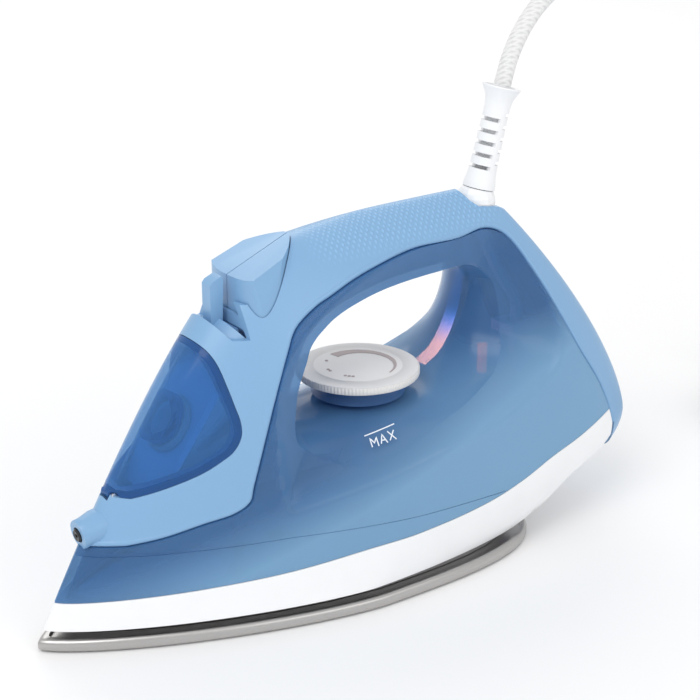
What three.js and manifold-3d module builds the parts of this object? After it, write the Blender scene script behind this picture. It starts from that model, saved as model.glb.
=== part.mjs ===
// Steam iron, in millimetres, +Z up, sole tip towards -X, heel towards +X.
// Lengths along X are counted from the tip of the sole ("station"), then the whole
// group moves back by half the length so that the origin is under the middle.
import * as THREE from 'three';
import { mergeVertices } from 'three/addons/utils/BufferGeometryUtils.js';
import Module from 'manifold-3d';

const wasm = await Module();
wasm.setup();

// ---------- driving dimensions ----------
const LENGTH = 300;            // tip of the sole to the back of the heel
const HEIGHT = 161;            // floor to the top of the handle
const GAP = 0.3;               // between two separate pieces
const WALL = 2.6;              // thickness of the moulded shells
const SOLE_LENGTH = 242.65;
const SOLE_HALF_WIDTH = 54.1;
const SOLE_THICKNESS = 4;
const SKIRT_BOTTOM = 9;
const BODY_HALF_WIDTH = 51;
const DECK_HEIGHT = 78;        // top of the water tank under the dial
const DIAL_STATION = 163;
const DIAL_RADIUS = 27.5;
const VALVE_STATION = 98;

// ---------- colours ----------
const plastic = (colour, roughness = 0.4) => new THREE.MeshStandardMaterial(
  { color: colour, roughness, metalness: 0 });
const metal = (colour, roughness = 0.35) => new THREE.MeshStandardMaterial(
  { color: colour, roughness, metalness: 0.9 });
const clear = (colour, opacity) => new THREE.MeshStandardMaterial(
  { color: colour, roughness: 0.12, metalness: 0, transparent: true, opacity });
const SHELL_BLUE = 0x8fbbe0;
const TANK_BLUE = 0x6f9fcd;
const DOOR_BLUE = 0x2f73c4;
const WHITE = 0xf1f2f4;
const GREY_METAL = 0x9a9b9c;

// ---------- solids and booleans ----------
const toSolid = (geometry) => {
  const bare = geometry.clone();
  bare.deleteAttribute('normal');
  bare.deleteAttribute('uv');
  const merged = mergeVertices(bare, 1e-4);
  return new wasm.Manifold(new wasm.Mesh({
    numProp: 3,
    vertProperties: new Float32Array(merged.attributes.position.array),
    triVerts: new Uint32Array(merged.index.array),
  }));
};

const toGeometry = (solid) => {
  const mesh = solid.getMesh();
  const points = new Float32Array(mesh.numVert * 3);
  for (let i = 0; i < mesh.numVert; i++) {
    for (let k = 0; k < 3; k++) points[3 * i + k] = mesh.vertProperties[mesh.numProp * i + k];
  }
  const geometry = new THREE.BufferGeometry();
  geometry.setAttribute('position', new THREE.BufferAttribute(points, 3));
  geometry.setIndex(new THREE.BufferAttribute(new Uint32Array(mesh.triVerts), 1));
  geometry.computeVertexNormals();
  return geometry;
};

const iron = new THREE.Group();
iron.position.x = -LENGTH / 2;

// Adds a named piece; a geometry may be turned and placed on the way.
const addPiece = (name, shape, material) => {
  const geometry = shape.isBufferGeometry ? shape : toGeometry(shape);
  const piece = new THREE.Mesh(geometry, material);
  piece.name = name;
  iron.add(piece);
  return piece;
};

// A side view outline, [station, height] pairs, pushed through from y0 to y1.
const sideProfile = (points, y0 = -80, y1 = 80) => {
  const outline = new THREE.Shape(points.map(([x, z]) => new THREE.Vector2(x, z)));
  const geometry = new THREE.ExtrudeGeometry(outline, { depth: y1 - y0, bevelEnabled: false });
  geometry.rotateX(Math.PI / 2);
  geometry.translate(0, y1, 0);
  return toSolid(geometry);
};

// A plan outline, [station, y] pairs, raised from z0 to z1.
const planPrism = (points, z0, z1) => {
  const outline = new THREE.Shape(points.map(([x, y]) => new THREE.Vector2(x, y)));
  const geometry = new THREE.ExtrudeGeometry(outline, { depth: z1 - z0, bevelEnabled: false });
  geometry.translate(0, 0, z0);
  return toSolid(geometry);
};

const slab = (x0, x1, y0, y1, z0, z1) => {
  const geometry = new THREE.BoxGeometry(x1 - x0, y1 - y0, z1 - z0);
  geometry.translate((x0 + x1) / 2, (y0 + y1) / 2, (z0 + z1) / 2);
  return toSolid(geometry);
};

// A round rod from one point to another.
const rodGeometry = (from, to, radius, sides = 12, endRadius = radius) => {
  const start = new THREE.Vector3(...from);
  const end = new THREE.Vector3(...to);
  const along = end.clone().sub(start);
  const geometry = new THREE.CylinderGeometry(endRadius, radius, along.length(), sides);
  geometry.applyQuaternion(new THREE.Quaternion().setFromUnitVectors(
    new THREE.Vector3(0, 1, 0), along.clone().normalize()));
  const middle = start.add(end).multiplyScalar(0.5);
  geometry.translate(middle.x, middle.y, middle.z);
  return geometry;
};
const rod = (...values) => toSolid(rodGeometry(...values));
const upright = (station, z0, z1, radius, sides = 12) => rod([station, 0, z0], [station, 0, z1], radius, sides);

// A closed profile of [radius, distance] pairs turned about an axis through a point.
const turned = (profile, place, direction, sides = 20) => {
  const closed = profile[0][0] > 0 ? [...profile, profile[0]] : profile;
  const geometry = new THREE.LatheGeometry(closed.map(([r, h]) => new THREE.Vector2(r, h)), sides);
  geometry.applyQuaternion(new THREE.Quaternion().setFromUnitVectors(
    new THREE.Vector3(0, 1, 0), new THREE.Vector3(...direction).normalize()));
  geometry.translate(...place);
  return toSolid(geometry);
};

// A tube of round section that follows a list of points.
const sweep = (points, radius, sides, steps) => {
  const path = new THREE.CatmullRomCurve3(points.map((p) => new THREE.Vector3(...p)), false, 'centripetal');
  const corners = Array.from({ length: sides }, (_, i) => new THREE.Vector2(
    radius * Math.cos(2 * Math.PI * i / sides), radius * Math.sin(2 * Math.PI * i / sides)));
  return new THREE.ExtrudeGeometry(new THREE.Shape(corners), { steps, extrudePath: path, bevelEnabled: false });
};

// ---------- outer form ----------
// Half-width along the plan, 0 at the tip to 1 at the heel: a pointed nose that gets
// blunter with height, and a heel that tapers a little to a flat end with round corners.
const planShape = (u, lift) => {
  const widest = 0.56 - 0.2 * lift;
  if (u <= widest) {
    const t = 1 - u / widest;
    return Math.pow(Math.max(0, 1 - Math.pow(t, 1.42 + 0.5 * lift)), 0.77 - 0.32 * lift);
  }
  const v = (u - widest) / (1 - widest);
  return (1 - 0.27 * v * v) * Math.pow(Math.max(0, 1 - Math.pow(v, 9)), 1 / 9);
};

// Station of the nose ridge and of the heel at a height.
const ridgeStation = (z) => {
  const t = z - 8;
  const crown = Math.max(0, z - 148);
  return 2.5 + 0.5 * t + 0.00125 * t * t + 0.12 * Math.pow(crown, 2.4);
};
const heelStation = (z) => (z > 47
  ? LENGTH - 0.0935 * Math.pow(z - 47, 1.4)
  : LENGTH - 0.0415 * (47 - z) ** 2);
const bodyHalfWidth = (z) => {
  const s = Math.min(1, (z - SKIRT_BOTTOM) / (HEIGHT - SKIRT_BOTTOM));
  return BODY_HALF_WIDTH * Math.pow(1 - Math.pow(s, 2.2), 0.625);
};

const RING_NOSE = 7;
const RING_TAIL = 6;
const planSteps = (lift) => {
  const widest = 0.56 - 0.2 * lift;
  const steps = [];
  for (let i = 0; i < RING_NOSE; i++) steps.push(widest * Math.pow(i / RING_NOSE, 1.8));
  for (let j = 0; j <= RING_TAIL; j++) {
    steps.push(widest + (1 - widest) * (1 - Math.pow(1 - j / RING_TAIL, 2.2)));
  }
  return steps;
};

// Closed solid through level rings; each ring is a list of [x, half-width] from nose to heel.
const stackRings = (rings) => {
  const count = rings[0].points.length;
  const around = 2 * count - 2;
  const positions = [];
  for (const { z, points } of rings) {
    for (let i = 0; i < count; i++) positions.push(points[i][0], -points[i][1], z);
    for (let i = count - 2; i > 0; i--) positions.push(points[i][0], points[i][1], z);
  }
  const faces = [];
  for (let level = 0; level < rings.length - 1; level++) {
    for (let i = 0; i < around; i++) {
      const a = level * around + i;
      const b = level * around + (i + 1) % around;
      faces.push(a, b, b + around, a, b + around, a + around);
    }
  }
  const top = (rings.length - 1) * around;
  for (let i = 0; i < count - 1; i++) {
    const near = i;
    const nearNext = i + 1;
    const far = (around - i) % around;
    const farNext = around - i - 1;
    if (i > 0) {
      faces.push(near, far, nearNext);
      faces.push(top + near, top + nearNext, top + far);
    }
    if (i < count - 2) {
      faces.push(nearNext, far, farNext);
      faces.push(top + nearNext, top + farNext, top + far);
    }
  }
  const geometry = new THREE.BufferGeometry();
  geometry.setAttribute('position', new THREE.Float32BufferAttribute(positions, 3));
  geometry.setIndex(faces);
  return toSolid(geometry);
};

const LEVELS = [9, 20, 32, 44, 56, 70, 84, 98, 112, 124, 134, 143, 150, 155.5, 159, 160.6];
// The whole outer form, drawn in by an inset all round.
const outerForm = (inset) => stackRings(LEVELS.map((z) => {
  const lift = (z - SKIRT_BOTTOM) / 140;
  const front = ridgeStation(z) + 1.9 * inset;
  const back = heelStation(z) - inset;
  const half = Math.max(1.2, bodyHalfWidth(z) - inset);
  const points = planSteps(lift).map((u) => [front + u * (back - front), half * planShape(u, lift)]);
  const crown = z > 140 ? inset * (z - 140) / (HEIGHT - 140) : 0;
  return { z: z - crown, points };
}));

const outer = outerForm(0);
const inner = outerForm(WALL);
const lining = outerForm(WALL + GAP);
const liningInner = outerForm(2 * WALL + GAP);

// ---------- side view lines ----------
const SKIRT_TOP = [[-5, 19], [10, 20], [60, 22], [100, 24], [135, 27], [160, 28], [185, 29.5], [206, 32],
  [223, 36], [239, 41], [259, 45.5], [284, 52.5]];
const SKIRT_LOWER_BACK = [[224, 9], [238, 16], [253, 26], [279, 34.5], [288, 38]];
// Inner border of the light shell, from the nose, up the front column, along the grip and down the heel.
const SHELL_BORDER = [[37, 43], [50, 45.5], [66, 50], [79, 53.3], [85, 57.5], [87, 64], [94.5, 85.5],
  [101.3, 102.3], [108, 116], [113.5, 125], [124, 132], [132, 135], [144, 139], [158, 142], [180, 145], [205, 144.5],
  [222, 145.5], [232, 141], [244, 122], [255, 101], [264, 84], [274, 68], [281, 53], [284, 44]];
// Hand opening seen from the side, starting at the lower front corner.
const HAND_OPENING = [[110, 84], [112, 96], [118, 108], [121, 116], [128, 122], [137, 126.5], [158, 130.5],
  [190, 131.5], [210, 130], [217, 124], [218, 115], [214, 101], [206, 90], [195, 82], [183, 78], [118, 78]];

// Grows an outline away from its middle line by moving each point along its corner normal.
const growOutline = (points, distance) => {
  const area = points.reduce((sum, [x, z], i) => {
    const [nx, nz] = points[(i + 1) % points.length];
    return sum + x * nz - nx * z;
  }, 0);
  const side = area > 0 ? 1 : -1;
  return points.map((point, i) => {
    const before = points[(i + points.length - 1) % points.length];
    const after = points[(i + 1) % points.length];
    const a = new THREE.Vector2(point[0] - before[0], point[1] - before[1]).normalize();
    const b = new THREE.Vector2(after[0] - point[0], after[1] - point[1]).normalize();
    const normal = new THREE.Vector2(a.y + b.y, -a.x - b.x).normalize();
    const stretch = distance / Math.max(0.5, normal.dot(new THREE.Vector2(a.y, -a.x)));
    return [point[0] + side * stretch * normal.x, point[1] + side * stretch * normal.y];
  });
};

const belowShell = (clearance) => {
  const outline = [[-20, 42], ...SHELL_BORDER, [284, -20], [-20, -20]];
  return sideProfile(growOutline(outline, clearance));
};
const opening = sideProfile(HAND_OPENING);
const openingWithWall = sideProfile(growOutline(HAND_OPENING, WALL));

// Slanted tray under the door, with the neck that the water is poured into.
const TRAY_SLOPE = new THREE.Vector3(0.56, 0, 0.83).normalize();
const TRAY_OUT = new THREE.Vector3(-TRAY_SLOPE.z, 0, TRAY_SLOPE.x);
const onTray = (along, out) => [64.3 + TRAY_SLOPE.x * along + TRAY_OUT.x * out, 0,
  77.8 + TRAY_SLOPE.z * along + TRAY_OUT.z * out];

// ---------- soleplate and its heater ----------
const solePlan = (inset, steps = 15) => {
  const points = [];
  const widest = 140.2 / SOLE_LENGTH;
  const half = (u) => {
    if (u <= widest) return Math.pow(1 - Math.pow(1 - u / widest, 1.42), 0.77);
    return Math.pow(1 - Math.pow((u - widest) / (1 - widest), 3.32), 1 / 3.32);
  };
  for (let i = 0; i <= 2 * steps; i++) {
    const u = i <= steps ? widest * Math.pow(i / steps, 1.9)
      : widest + (1 - widest) * (1 - Math.pow(2 - i / steps, 2));
    const x = 2 * inset + u * (SOLE_LENGTH - 3 * inset);
    points.push([x, Math.max(0, (SOLE_HALF_WIDTH - inset) * half(Math.min(1, u)))]);
  }
  const near = points.slice(1, -1).map(([x, y]) => [x, -y]);
  const far = points.slice(1, -1).reverse();
  return [[points[0][0], 0], ...near, [points[points.length - 1][0], 0], ...far];
};

const steamHoles = () => {
  const holes = [];
  for (const side of [-1, 1]) {
    for (let i = 0; i < 9; i++) {
      const station = 34 + i * 15;
      holes.push([station, side * (6 + 24 * Math.sin(Math.PI * 0.5 * i / 8))]);
    }
  }
  return holes;
};

const soleplate = () => {
  let plate = planPrism(solePlan(0), 0, SOLE_THICKNESS);
  for (const [x, y] of steamHoles()) {
    plate = plate.subtract(rod([x, y, -1], [x, y, SOLE_THICKNESS + 1], 1.5, 6));
  }
  return plate;
};
const CASTING_BASE = SOLE_THICKNESS + GAP;
const CHAMBER_FLOOR = 9;
const CHAMBER_TOP = 14.5;
const chamberPlan = (grow) => {
  const points = [];
  for (let i = 0; i < 16; i++) {
    const angle = 2 * Math.PI * i / 16;
    points.push([104 + (42 + grow) * Math.cos(angle), (19 + grow) * Math.sin(angle)]);
  }
  return points;
};
const soleCasting = () => {
  const base = planPrism(solePlan(9, 9), CASTING_BASE, CHAMBER_FLOOR);
  const wall = planPrism(chamberPlan(0), CHAMBER_FLOOR - 0.5, CHAMBER_TOP)
    .subtract(planPrism(chamberPlan(-3), CHAMBER_FLOOR - 2, CHAMBER_TOP + 1));
  return base.add(wall);
};
const chamberCover = () => planPrism(chamberPlan(0), CHAMBER_TOP + GAP, CHAMBER_TOP + 2.3)
  .subtract(upright(VALVE_STATION, CHAMBER_TOP, CHAMBER_TOP + 4, 3.2, 10))
  .subtract(upright(VALVE_STATION + 20, CHAMBER_TOP, CHAMBER_TOP + 4, 2.4, 8));
const heatingElement = () => {
  const z = CHAMBER_FLOOR + GAP + 3.4;
  const points = [];
  for (let i = -6; i <= 6; i++) {
    const angle = Math.PI * i / 12;
    points.push([92 - 50 * Math.cos(angle), 27 * Math.sin(angle), z]);
  }
  return sweep([[222, -21, z], [190, -28, z], [140, -30, z], ...points, [140, 30, z], [190, 28, z],
    [222, 21, z]], 3.4, 8, 44);
};
const thermostat = () => upright(DIAL_STATION, CHAMBER_FLOOR + GAP, 16, 9, 14)
  .add(slab(DIAL_STATION - 4, DIAL_STATION + 17, -5, 5, CHAMBER_FLOOR + GAP, 12))
  .subtract(upright(DIAL_STATION, 12.5, 20, 3.4, 10));
const thermalFuse = () => rod([190, 14, CHAMBER_FLOOR + 2.6], [214, 14, CHAMBER_FLOOR + 2.6], 2.2, 8);

// ---------- skirt, heat shield and tank ----------
const skirt = () => {
  const region = sideProfile([...SKIRT_TOP, [284, 38], ...SKIRT_LOWER_BACK.slice(0, 4).reverse(),
    [-5, SKIRT_BOTTOM]]);
  const ring = outer.intersect(region).intersect(belowShell(-GAP)).subtract(inner);
  const slope = SKIRT_LOWER_BACK.slice(1, 4);
  const floor = sideProfile([...slope, ...slope.map(([x, z]) => [x, z + 2.4]).reverse()]);
  return ring.add(floor.intersect(outer).intersect(belowShell(-GAP)));
};
const SHIELD_BASE = 18.2;
const SHIELD_TOP = 19.2;
const heatShield = () => lining.intersect(slab(16, 232, -60, 60, SHIELD_BASE, SHIELD_TOP))
  .subtract(upright(VALVE_STATION, 10, 30, 4, 10))
  .subtract(upright(VALVE_STATION + 20, 10, 30, 4, 10))
  .subtract(upright(DIAL_STATION, 10, 30, 6, 10));
const TANK_FLOOR = 20.5;
const TANK_END = 210;
const TANK_HOLLOW_END = TANK_END - 2.2;
const SHAFT_TUBE_RADIUS = 6.2;
const SHAFT_BORE_RADIUS = 4.2;
const VALVE_BORE_RADIUS = 2.6;
// Line of the weld between the two halves of the tank, from the rear to a front station.
const weldLine = (front, raise) => [[TANK_END, 33.4 + raise], [101, 41 + raise], [front, 41 + raise]];
const tankBase = () => {
  const skirtLine = SKIRT_TOP.filter(([x]) => x < TANK_END).map(([x, z]) => [x, z + GAP]);
  const visible = outer.intersect(sideProfile([...skirtLine, ...weldLine(-5, 0)]));
  const inside = lining.intersect(sideProfile([[12, TANK_FLOOR], [TANK_END, TANK_FLOOR], ...weldLine(12, 0)]));
  const hollow = liningInner.intersect(slab(14, TANK_HOLLOW_END, -80, 80, TANK_FLOOR + 2, 50));
  return visible.add(inside).subtract(hollow)
    .add(upright(DIAL_STATION, TANK_FLOOR, 36.2, SHAFT_TUBE_RADIUS))
    .subtract(upright(DIAL_STATION, 10, 60, SHAFT_BORE_RADIUS))
    .subtract(upright(VALVE_STATION, 10, 60, VALVE_BORE_RADIUS, 10));
};

// Shoulders of the tank in a cross-section: they fall away from the deck to both sides.
const shoulderOutline = (drop) => {
  const points = [[-80, -20], [80, -20]];
  for (let i = 0; i <= 12; i++) {
    const y = 60 - 10 * i;
    const fall = 23 * Math.pow(Math.max(0, Math.abs(y) - 12) / 34, 1.7);
    points.push([y, DECK_HEIGHT - drop - fall]);
  }
  return points;
};
const shoulders = (drop) => {
  const outline = new THREE.Shape(shoulderOutline(drop).map(([y, z]) => new THREE.Vector2(y, z)));
  const geometry = new THREE.ExtrudeGeometry(outline, { depth: 320, bevelEnabled: false });
  geometry.rotateX(Math.PI / 2);
  geometry.rotateZ(Math.PI / 2);
  return toSolid(geometry);
};
// The hidden front of the tank climbs behind the filling tray.
const TANK_NOSE = [[TANK_END, 50], [104, 60], [104, DECK_HEIGHT], [96, 98], [86, 98], [59, 57.5], [46, 45]];
const NOSE_HOLLOW = [[94.5, 95.6], [87.2, 95.6], [61.5, 57], [48, 44]];
const waterTank = () => {
  const nose = lining.intersect(sideProfile([...weldLine(18, GAP).reverse(), ...TANK_NOSE]));
  const side = sideProfile([...weldLine(-5, GAP).reverse(), [TANK_END, 130], [104, 130], [100, 58], [-5, 58]]);
  const visible = outer.intersect(belowShell(-GAP)).intersect(side).intersect(shoulders(0));
  const mainHollow = sideProfile([[20, 30], [TANK_HOLLOW_END, 30], [TANK_HOLLOW_END, 130], [104, 130],
    ...NOSE_HOLLOW]).intersect(shoulders(2.4));
  const frontHollow = sideProfile([[20, 30], [104, 30], [101.8, DECK_HEIGHT], ...NOSE_HOLLOW]);
  return nose.add(visible).subtract(liningInner.intersect(mainHollow.add(frontHollow)))
    .add(upright(DIAL_STATION, 36.6, DECK_HEIGHT - 1, SHAFT_TUBE_RADIUS))
    .subtract(rod([10, 0, NOZZLE_HEIGHT - 2.2], [40, 0, NOZZLE_HEIGHT + 3], 6.6, 14))
    .subtract(upright(DIAL_STATION, 10, 100, SHAFT_BORE_RADIUS))
    .subtract(upright(VALVE_STATION, 60, 104, VALVE_BORE_RADIUS, 10))
    .subtract(rod(onTray(8, -14), onTray(8, -5), 6.5, 12));
};

// ---------- rear column and lining of the hand opening ----------
const rearHousing = () => {
  const front = TANK_END + GAP;
  const region = sideProfile([[front, 34.5], ...SKIRT_TOP.slice(8).map(([x, z]) => [x, z + GAP]), [300, 160],
    [218.7, 160], [218.7, 119.7], [front, 119.7]]);
  const solid = outer.intersect(belowShell(-GAP)).intersect(region).subtract(opening);
  const hollow = inner.subtract(openingWithWall);
  return solid.subtract(hollow);
};
const handleLiner = () => {
  const region = sideProfile([[80, 101], [122, 101], [122, 120], [218.4, 120], [218.4, 160], [80, 160]]);
  const solid = outer.intersect(belowShell(-GAP)).intersect(region).subtract(opening);
  return solid.subtract(inner.subtract(openingWithWall));
};
const columnLiner = () => {
  const region = sideProfile([[80, 58 + GAP], [99.6, 58 + GAP], [100.8, DECK_HEIGHT + GAP],
    [118, DECK_HEIGHT + GAP], [118, 100.7], [80, 100.7]]);
  const solid = outer.intersect(belowShell(-GAP)).intersect(region).subtract(opening);
  return solid.subtract(inner.subtract(openingWithWall));
};

// ---------- light shell ----------
// The steam lever turns about an axis that rises to the rear.
const LEVER_CENTRE = [97.6, 0, 106.7];
const LEVER_AXIS = [0.8, 0, 0.6];
const DRUM_RADIUS = 22;
const inLeverPlane = (along, up) => [LEVER_CENTRE[0] + LEVER_AXIS[0] * along - LEVER_AXIS[2] * up,
  LEVER_CENTRE[2] + LEVER_AXIS[2] * along + LEVER_AXIS[0] * up];
// Wall of the buttons' pocket that closes the lever's notch to the rear.
const FRONT_WALL = 94.4;
const leverNotch = () => sideProfile([[74.8, 140.4], [87.9, 122.9], [FRONT_WALL, 122.9], [FRONT_WALL, 136],
  [97, 136], [97, 175], [74.8, 175]]);

// Plan outline of the pair of buttons: blunt at the front, running to a point at the rear.
const BUTTON_FRONT = 96;
const BUTTON_TIP = 127;
const BUTTON_BASE = 129;
const BUTTON_HALF_WIDTH = 19;
const BUTTON_WIDEST = 104;
const buttonPlan = (grow) => {
  const half = BUTTON_HALF_WIDTH + grow;
  const front = BUTTON_WIDEST - BUTTON_FRONT + grow;
  const rear = BUTTON_TIP - BUTTON_WIDEST + grow;
  const points = [];
  for (let i = 0; i <= 6; i++) {
    const t = Math.cos(Math.PI / 2 * i / 6);
    points.push([BUTTON_WIDEST - front * t, -half * Math.pow(1 - Math.pow(t, 2.6), 1 / 2.6)]);
  }
  for (let i = 1; i <= 6; i++) {
    const t = i / 6;
    points.push([BUTTON_WIDEST + rear * t, -half * Math.pow(1 - Math.pow(t, 1.6), 0.8)]);
  }
  const far = points.slice(1, -1).map(([x, y]) => [x, -y]).reverse();
  return [...points, ...far];
};
const HINGE = [36.4, 62.8];
const HINGE_HALF_LENGTH = 2.9;
const DOOR_OUTLINE = [[29.8, 67.4], HINGE, [41, 62.6], [48, 64.8], [56, 67.6], [67, 72], [74, 75.9],
  [80, 80.2], [83.5, 86], [84, 91.5], [82.9, 98], [81.6, 106], [80, 115], [78, 119.6], [74, 124], [20, 124],
  [20, 78]];
const NOZZLE_HEIGHT = 47.5;
const BALL = [228, 0, 154];
const BALL_RADIUS = 9;

const alongHinge = (radius, halfLength) => rod([HINGE[0], -halfLength, HINGE[1]],
  [HINGE[0], halfLength, HINGE[1]], radius, 12);
const ballSolid = (radius) => {
  const ball = new THREE.SphereGeometry(radius, 16, 12);
  ball.rotateX(Math.PI / 2);
  ball.translate(...BALL);
  return toSolid(ball);
};

const HEEL_PLATE_HALF_WIDTH = 18;
const heelPlateRegion = (grow) => slab(250, 310, -HEEL_PLATE_HALF_WIDTH - grow, HEEL_PLATE_HALF_WIDTH + grow,
  66 - grow, 116 + grow);

// Upright ribs that stiffen the foot of the heel from inside.
const heelRibs = () => [-24, -16, -8, 0, 8, 16, 24].map((y) => slab(285, 302, y - 0.8, y + 0.8, 26, 46))
  .reduce((all, rib) => all.add(rib)).intersect(outer);

const handleShell = () => {
  const cover = outer.subtract(inner).subtract(belowShell(0));
  const boss = rod([21.5, 0, NOZZLE_HEIGHT], [34, 0, NOZZLE_HEIGHT + 2], 6, 14);
  const frontWall = outer.intersect(slab(FRONT_WALL, FRONT_WALL + 1.2, -40, 40, 114, 131));
  const drumRoom = turned([[0, -1], [DRUM_RADIUS + 0.5, -1], [DRUM_RADIUS + 0.5, 9], [0, 9]],
    LEVER_CENTRE, LEVER_AXIS, 24);
  const guideSlot = sideProfile([[219, 157], [208, 175], [262, 178], [268, 156], [240, 150], [BALL[0], 150]],
    -9.2, 9.2);
  return cover.add(boss).subtract(leverNotch()).add(frontWall).subtract(drumRoom)
    .subtract(sideProfile(growOutline(DOOR_OUTLINE, GAP)))
    .subtract(alongHinge(3.4, HINGE_HALF_LENGTH + GAP))
    .subtract(alongHinge(1.4, 4.8))
    .subtract(planPrism(buttonPlan(0.4), 121, 175))
    .subtract(rod([0, 0, NOZZLE_HEIGHT - 3.2], [40, 0, NOZZLE_HEIGHT + 2.9], 3.4, 12))
    .subtract(ballSolid(BALL_RADIUS + 0.5))
    .subtract(guideSlot)
    .subtract(heelPlateRegion(GAP))
    .add(heelRibs());
};
const heelPlate = () => outer.subtract(inner).intersect(heelPlateRegion(0))
  .subtract(rod([240, 0, 76], [320, 0, 76], 2.1, 10));

// ---------- filling door ----------
const fillDoor = () => outer.subtract(inner).intersect(sideProfile(DOOR_OUTLINE))
  .subtract(alongHinge(3.8, 12).subtract(alongHinge(4, HINGE_HALF_LENGTH)))
  .add(alongHinge(2.1, HINGE_HALF_LENGTH))
  .subtract(alongHinge(1.4, 12));
const hingePin = () => alongHinge(1.1, 4.6);

const fillerTray = () => {
  const corner = (along, out) => {
    const p = onTray(along, out);
    return [p[0], p[2]];
  };
  const plate = lining.intersect(sideProfile([corner(-22, 0), corner(43, 0), corner(43, 2), corner(-22, 2)]));
  const neck = rod(onTray(8, -2.5), onTray(8, 5), 9.6, 16);
  return plate.add(neck).subtract(rod(onTray(8, -8), onTray(8, 9), 8.1, 16));
};
const fillerSeal = () => turned([[9.9, 2.4], [12.2, 2.4], [12.2, 4.6], [9.9, 4.6]],
  onTray(8, 0), TRAY_OUT.toArray(), 18);

// ---------- nozzle, buttons, pumps ----------
const sprayNozzle = () => turned([[0.9, 0], [3, 0], [3, 17], [1.6, 17], [1.6, 22], [0.9, 22]],
  [20.5, 0, NOZZLE_HEIGHT - 0.2], [1, 0, 0.154], 12);

const PUMP_STATION = 110.5;
const PUMP_OFFSET = 7.5;
// The buttons' top rises to the rear, and their sides lean in a little towards it.
const belowButtonTop = (drop) => sideProfile([[80, 100], [140, 100], [140, 164 - drop], [126, 158 - drop],
  [96.5, 145.9 - drop], [80, 139 - drop]]);
const buttonRoof = () => {
  const outline = new THREE.Shape([[-22, 120], [22, 120], [13.5, 160], [-13.5, 160]]
    .map(([y, z]) => new THREE.Vector2(y, z)));
  const geometry = new THREE.ExtrudeGeometry(outline, { depth: 300, bevelEnabled: false });
  geometry.rotateX(Math.PI / 2);
  geometry.rotateZ(Math.PI / 2);
  return toSolid(geometry);
};
const pushButton = (side) => {
  const half = side < 0 ? slab(60, 160, -40, -0.2, 100, 180) : slab(60, 160, 0.2, 40, 100, 180);
  const block = planPrism(buttonPlan(0), BUTTON_BASE, 158).intersect(belowButtonTop(0)).intersect(buttonRoof());
  const hollow = planPrism(buttonPlan(-2), 120, 158).intersect(inner).intersect(belowButtonTop(2.4));
  const stem = rod([PUMP_STATION, side * PUMP_OFFSET, 122], [PUMP_STATION, side * PUMP_OFFSET, 149], 2, 10);
  return block.subtract(hollow).intersect(half).add(stem);
};
const pumpBody = (side) => turned([[2.7, 0], [4.2, 0], [4.2, 9.5], [2.7, 9.5]],
  [PUMP_STATION, side * PUMP_OFFSET, 107.5], [0, 0, 1], 12);
const pumpPlunger = (side) => rodGeometry([PUMP_STATION, side * PUMP_OFFSET, 111.5],
  [PUMP_STATION, side * PUMP_OFFSET, 121.7], 2.3, 10);
const SPRING_TURNS = 4;
const returnSpring = (side) => {
  const steps = SPRING_TURNS * 8;
  const points = Array.from({ length: steps + 1 }, (_, i) => {
    const angle = 2 * Math.PI * i / 8;
    return [PUMP_STATION + 3.4 * Math.cos(angle), side * PUMP_OFFSET + 3.4 * Math.sin(angle),
      118 + 9 * i / steps];
  });
  return sweep(points, 0.4, 5, steps);
};
const onHoseLine = (along) => {
  const [x, , z] = onTray(along, -4.4);
  return [x, -6, z];
};
const BLADE_OUTLINE = [[85.8, 127.1], [91.4, 119.7], [92.4, 145.6], [91.4, 146.6], [87, 144.8], [85.8, 143.4]];
const steamLever = () => {
  const above = sideProfile([inLeverPlane(-30, 6), inLeverPlane(30, 6), inLeverPlane(30, 40),
    inLeverPlane(-30, 40)]);
  const drum = turned([[DRUM_RADIUS - 4.5, 2.6], [DRUM_RADIUS, 2.6], [DRUM_RADIUS, 7], [DRUM_RADIUS - 4.5, 7]],
    LEVER_CENTRE, LEVER_AXIS, 32);
  return drum.intersect(above).add(sideProfile(BLADE_OUTLINE, -3.2, 3.2));
};
const valveRod = () => upright(VALVE_STATION, 18, 116, 1.9, 10)
  .add(turned([[0, 0], [2.3, 0], [2.3, 2], [0, 5]], [VALVE_STATION, 0, 16.8], [0, 0, 1], 10));
const sprayHose = () => sweep([[PUMP_STATION, -PUMP_OFFSET, 107.1], [109, -PUMP_OFFSET, 103.5],
  [103, -7.8, 102.2], [94, -8, 103.5], [86, -7, 101.5], onHoseLine(14), onHoseLine(-8), [58.5, -4, 60.5],
  [50, -1.5, 53], [43.2, 0, 50.9]], 1.5, 8, 24);

// ---------- dial ----------
const DIAL_BASE = 85.6;
const DIAL_THICKNESS = 4.2;
const temperatureDial = () => {
  const sides = 40;
  const rim = [];
  for (let i = 0; i < 2 * sides; i++) {
    const angle = Math.PI * i / sides;
    const radius = DIAL_RADIUS - (i % 2 ? 0.5 : 0);
    rim.push([DIAL_STATION + radius * Math.cos(angle), radius * Math.sin(angle)]);
  }
  return planPrism(rim, DIAL_BASE, DIAL_BASE + DIAL_THICKNESS);
};
const dialShaft = () => rodGeometry([DIAL_STATION, 0, 13.2], [DIAL_STATION, 0, DIAL_BASE - GAP], 3, 12);
const dialPedestal = () => turned([[4.4, 0], [20, 0], [17.5, 3], [17, 6.6], [4.4, 6.6]],
  [DIAL_STATION, 0, DECK_HEIGHT + GAP], [0, 0, 1], 24);

// ---------- lamp and light guide ----------
const indicatorLamp = () => rodGeometry([246, 14, 62], [246, 14, 76], 2.4, 10);
const lightGuide = () => {
  const inside = [[221, 76], [229, 90], [233, 104], [233.5, 118]];
  const outside = inside.map(([x, z]) => [x + 2.4, z - 1]).reverse();
  return sideProfile([...inside, ...outside], 11, 19);
};

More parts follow.
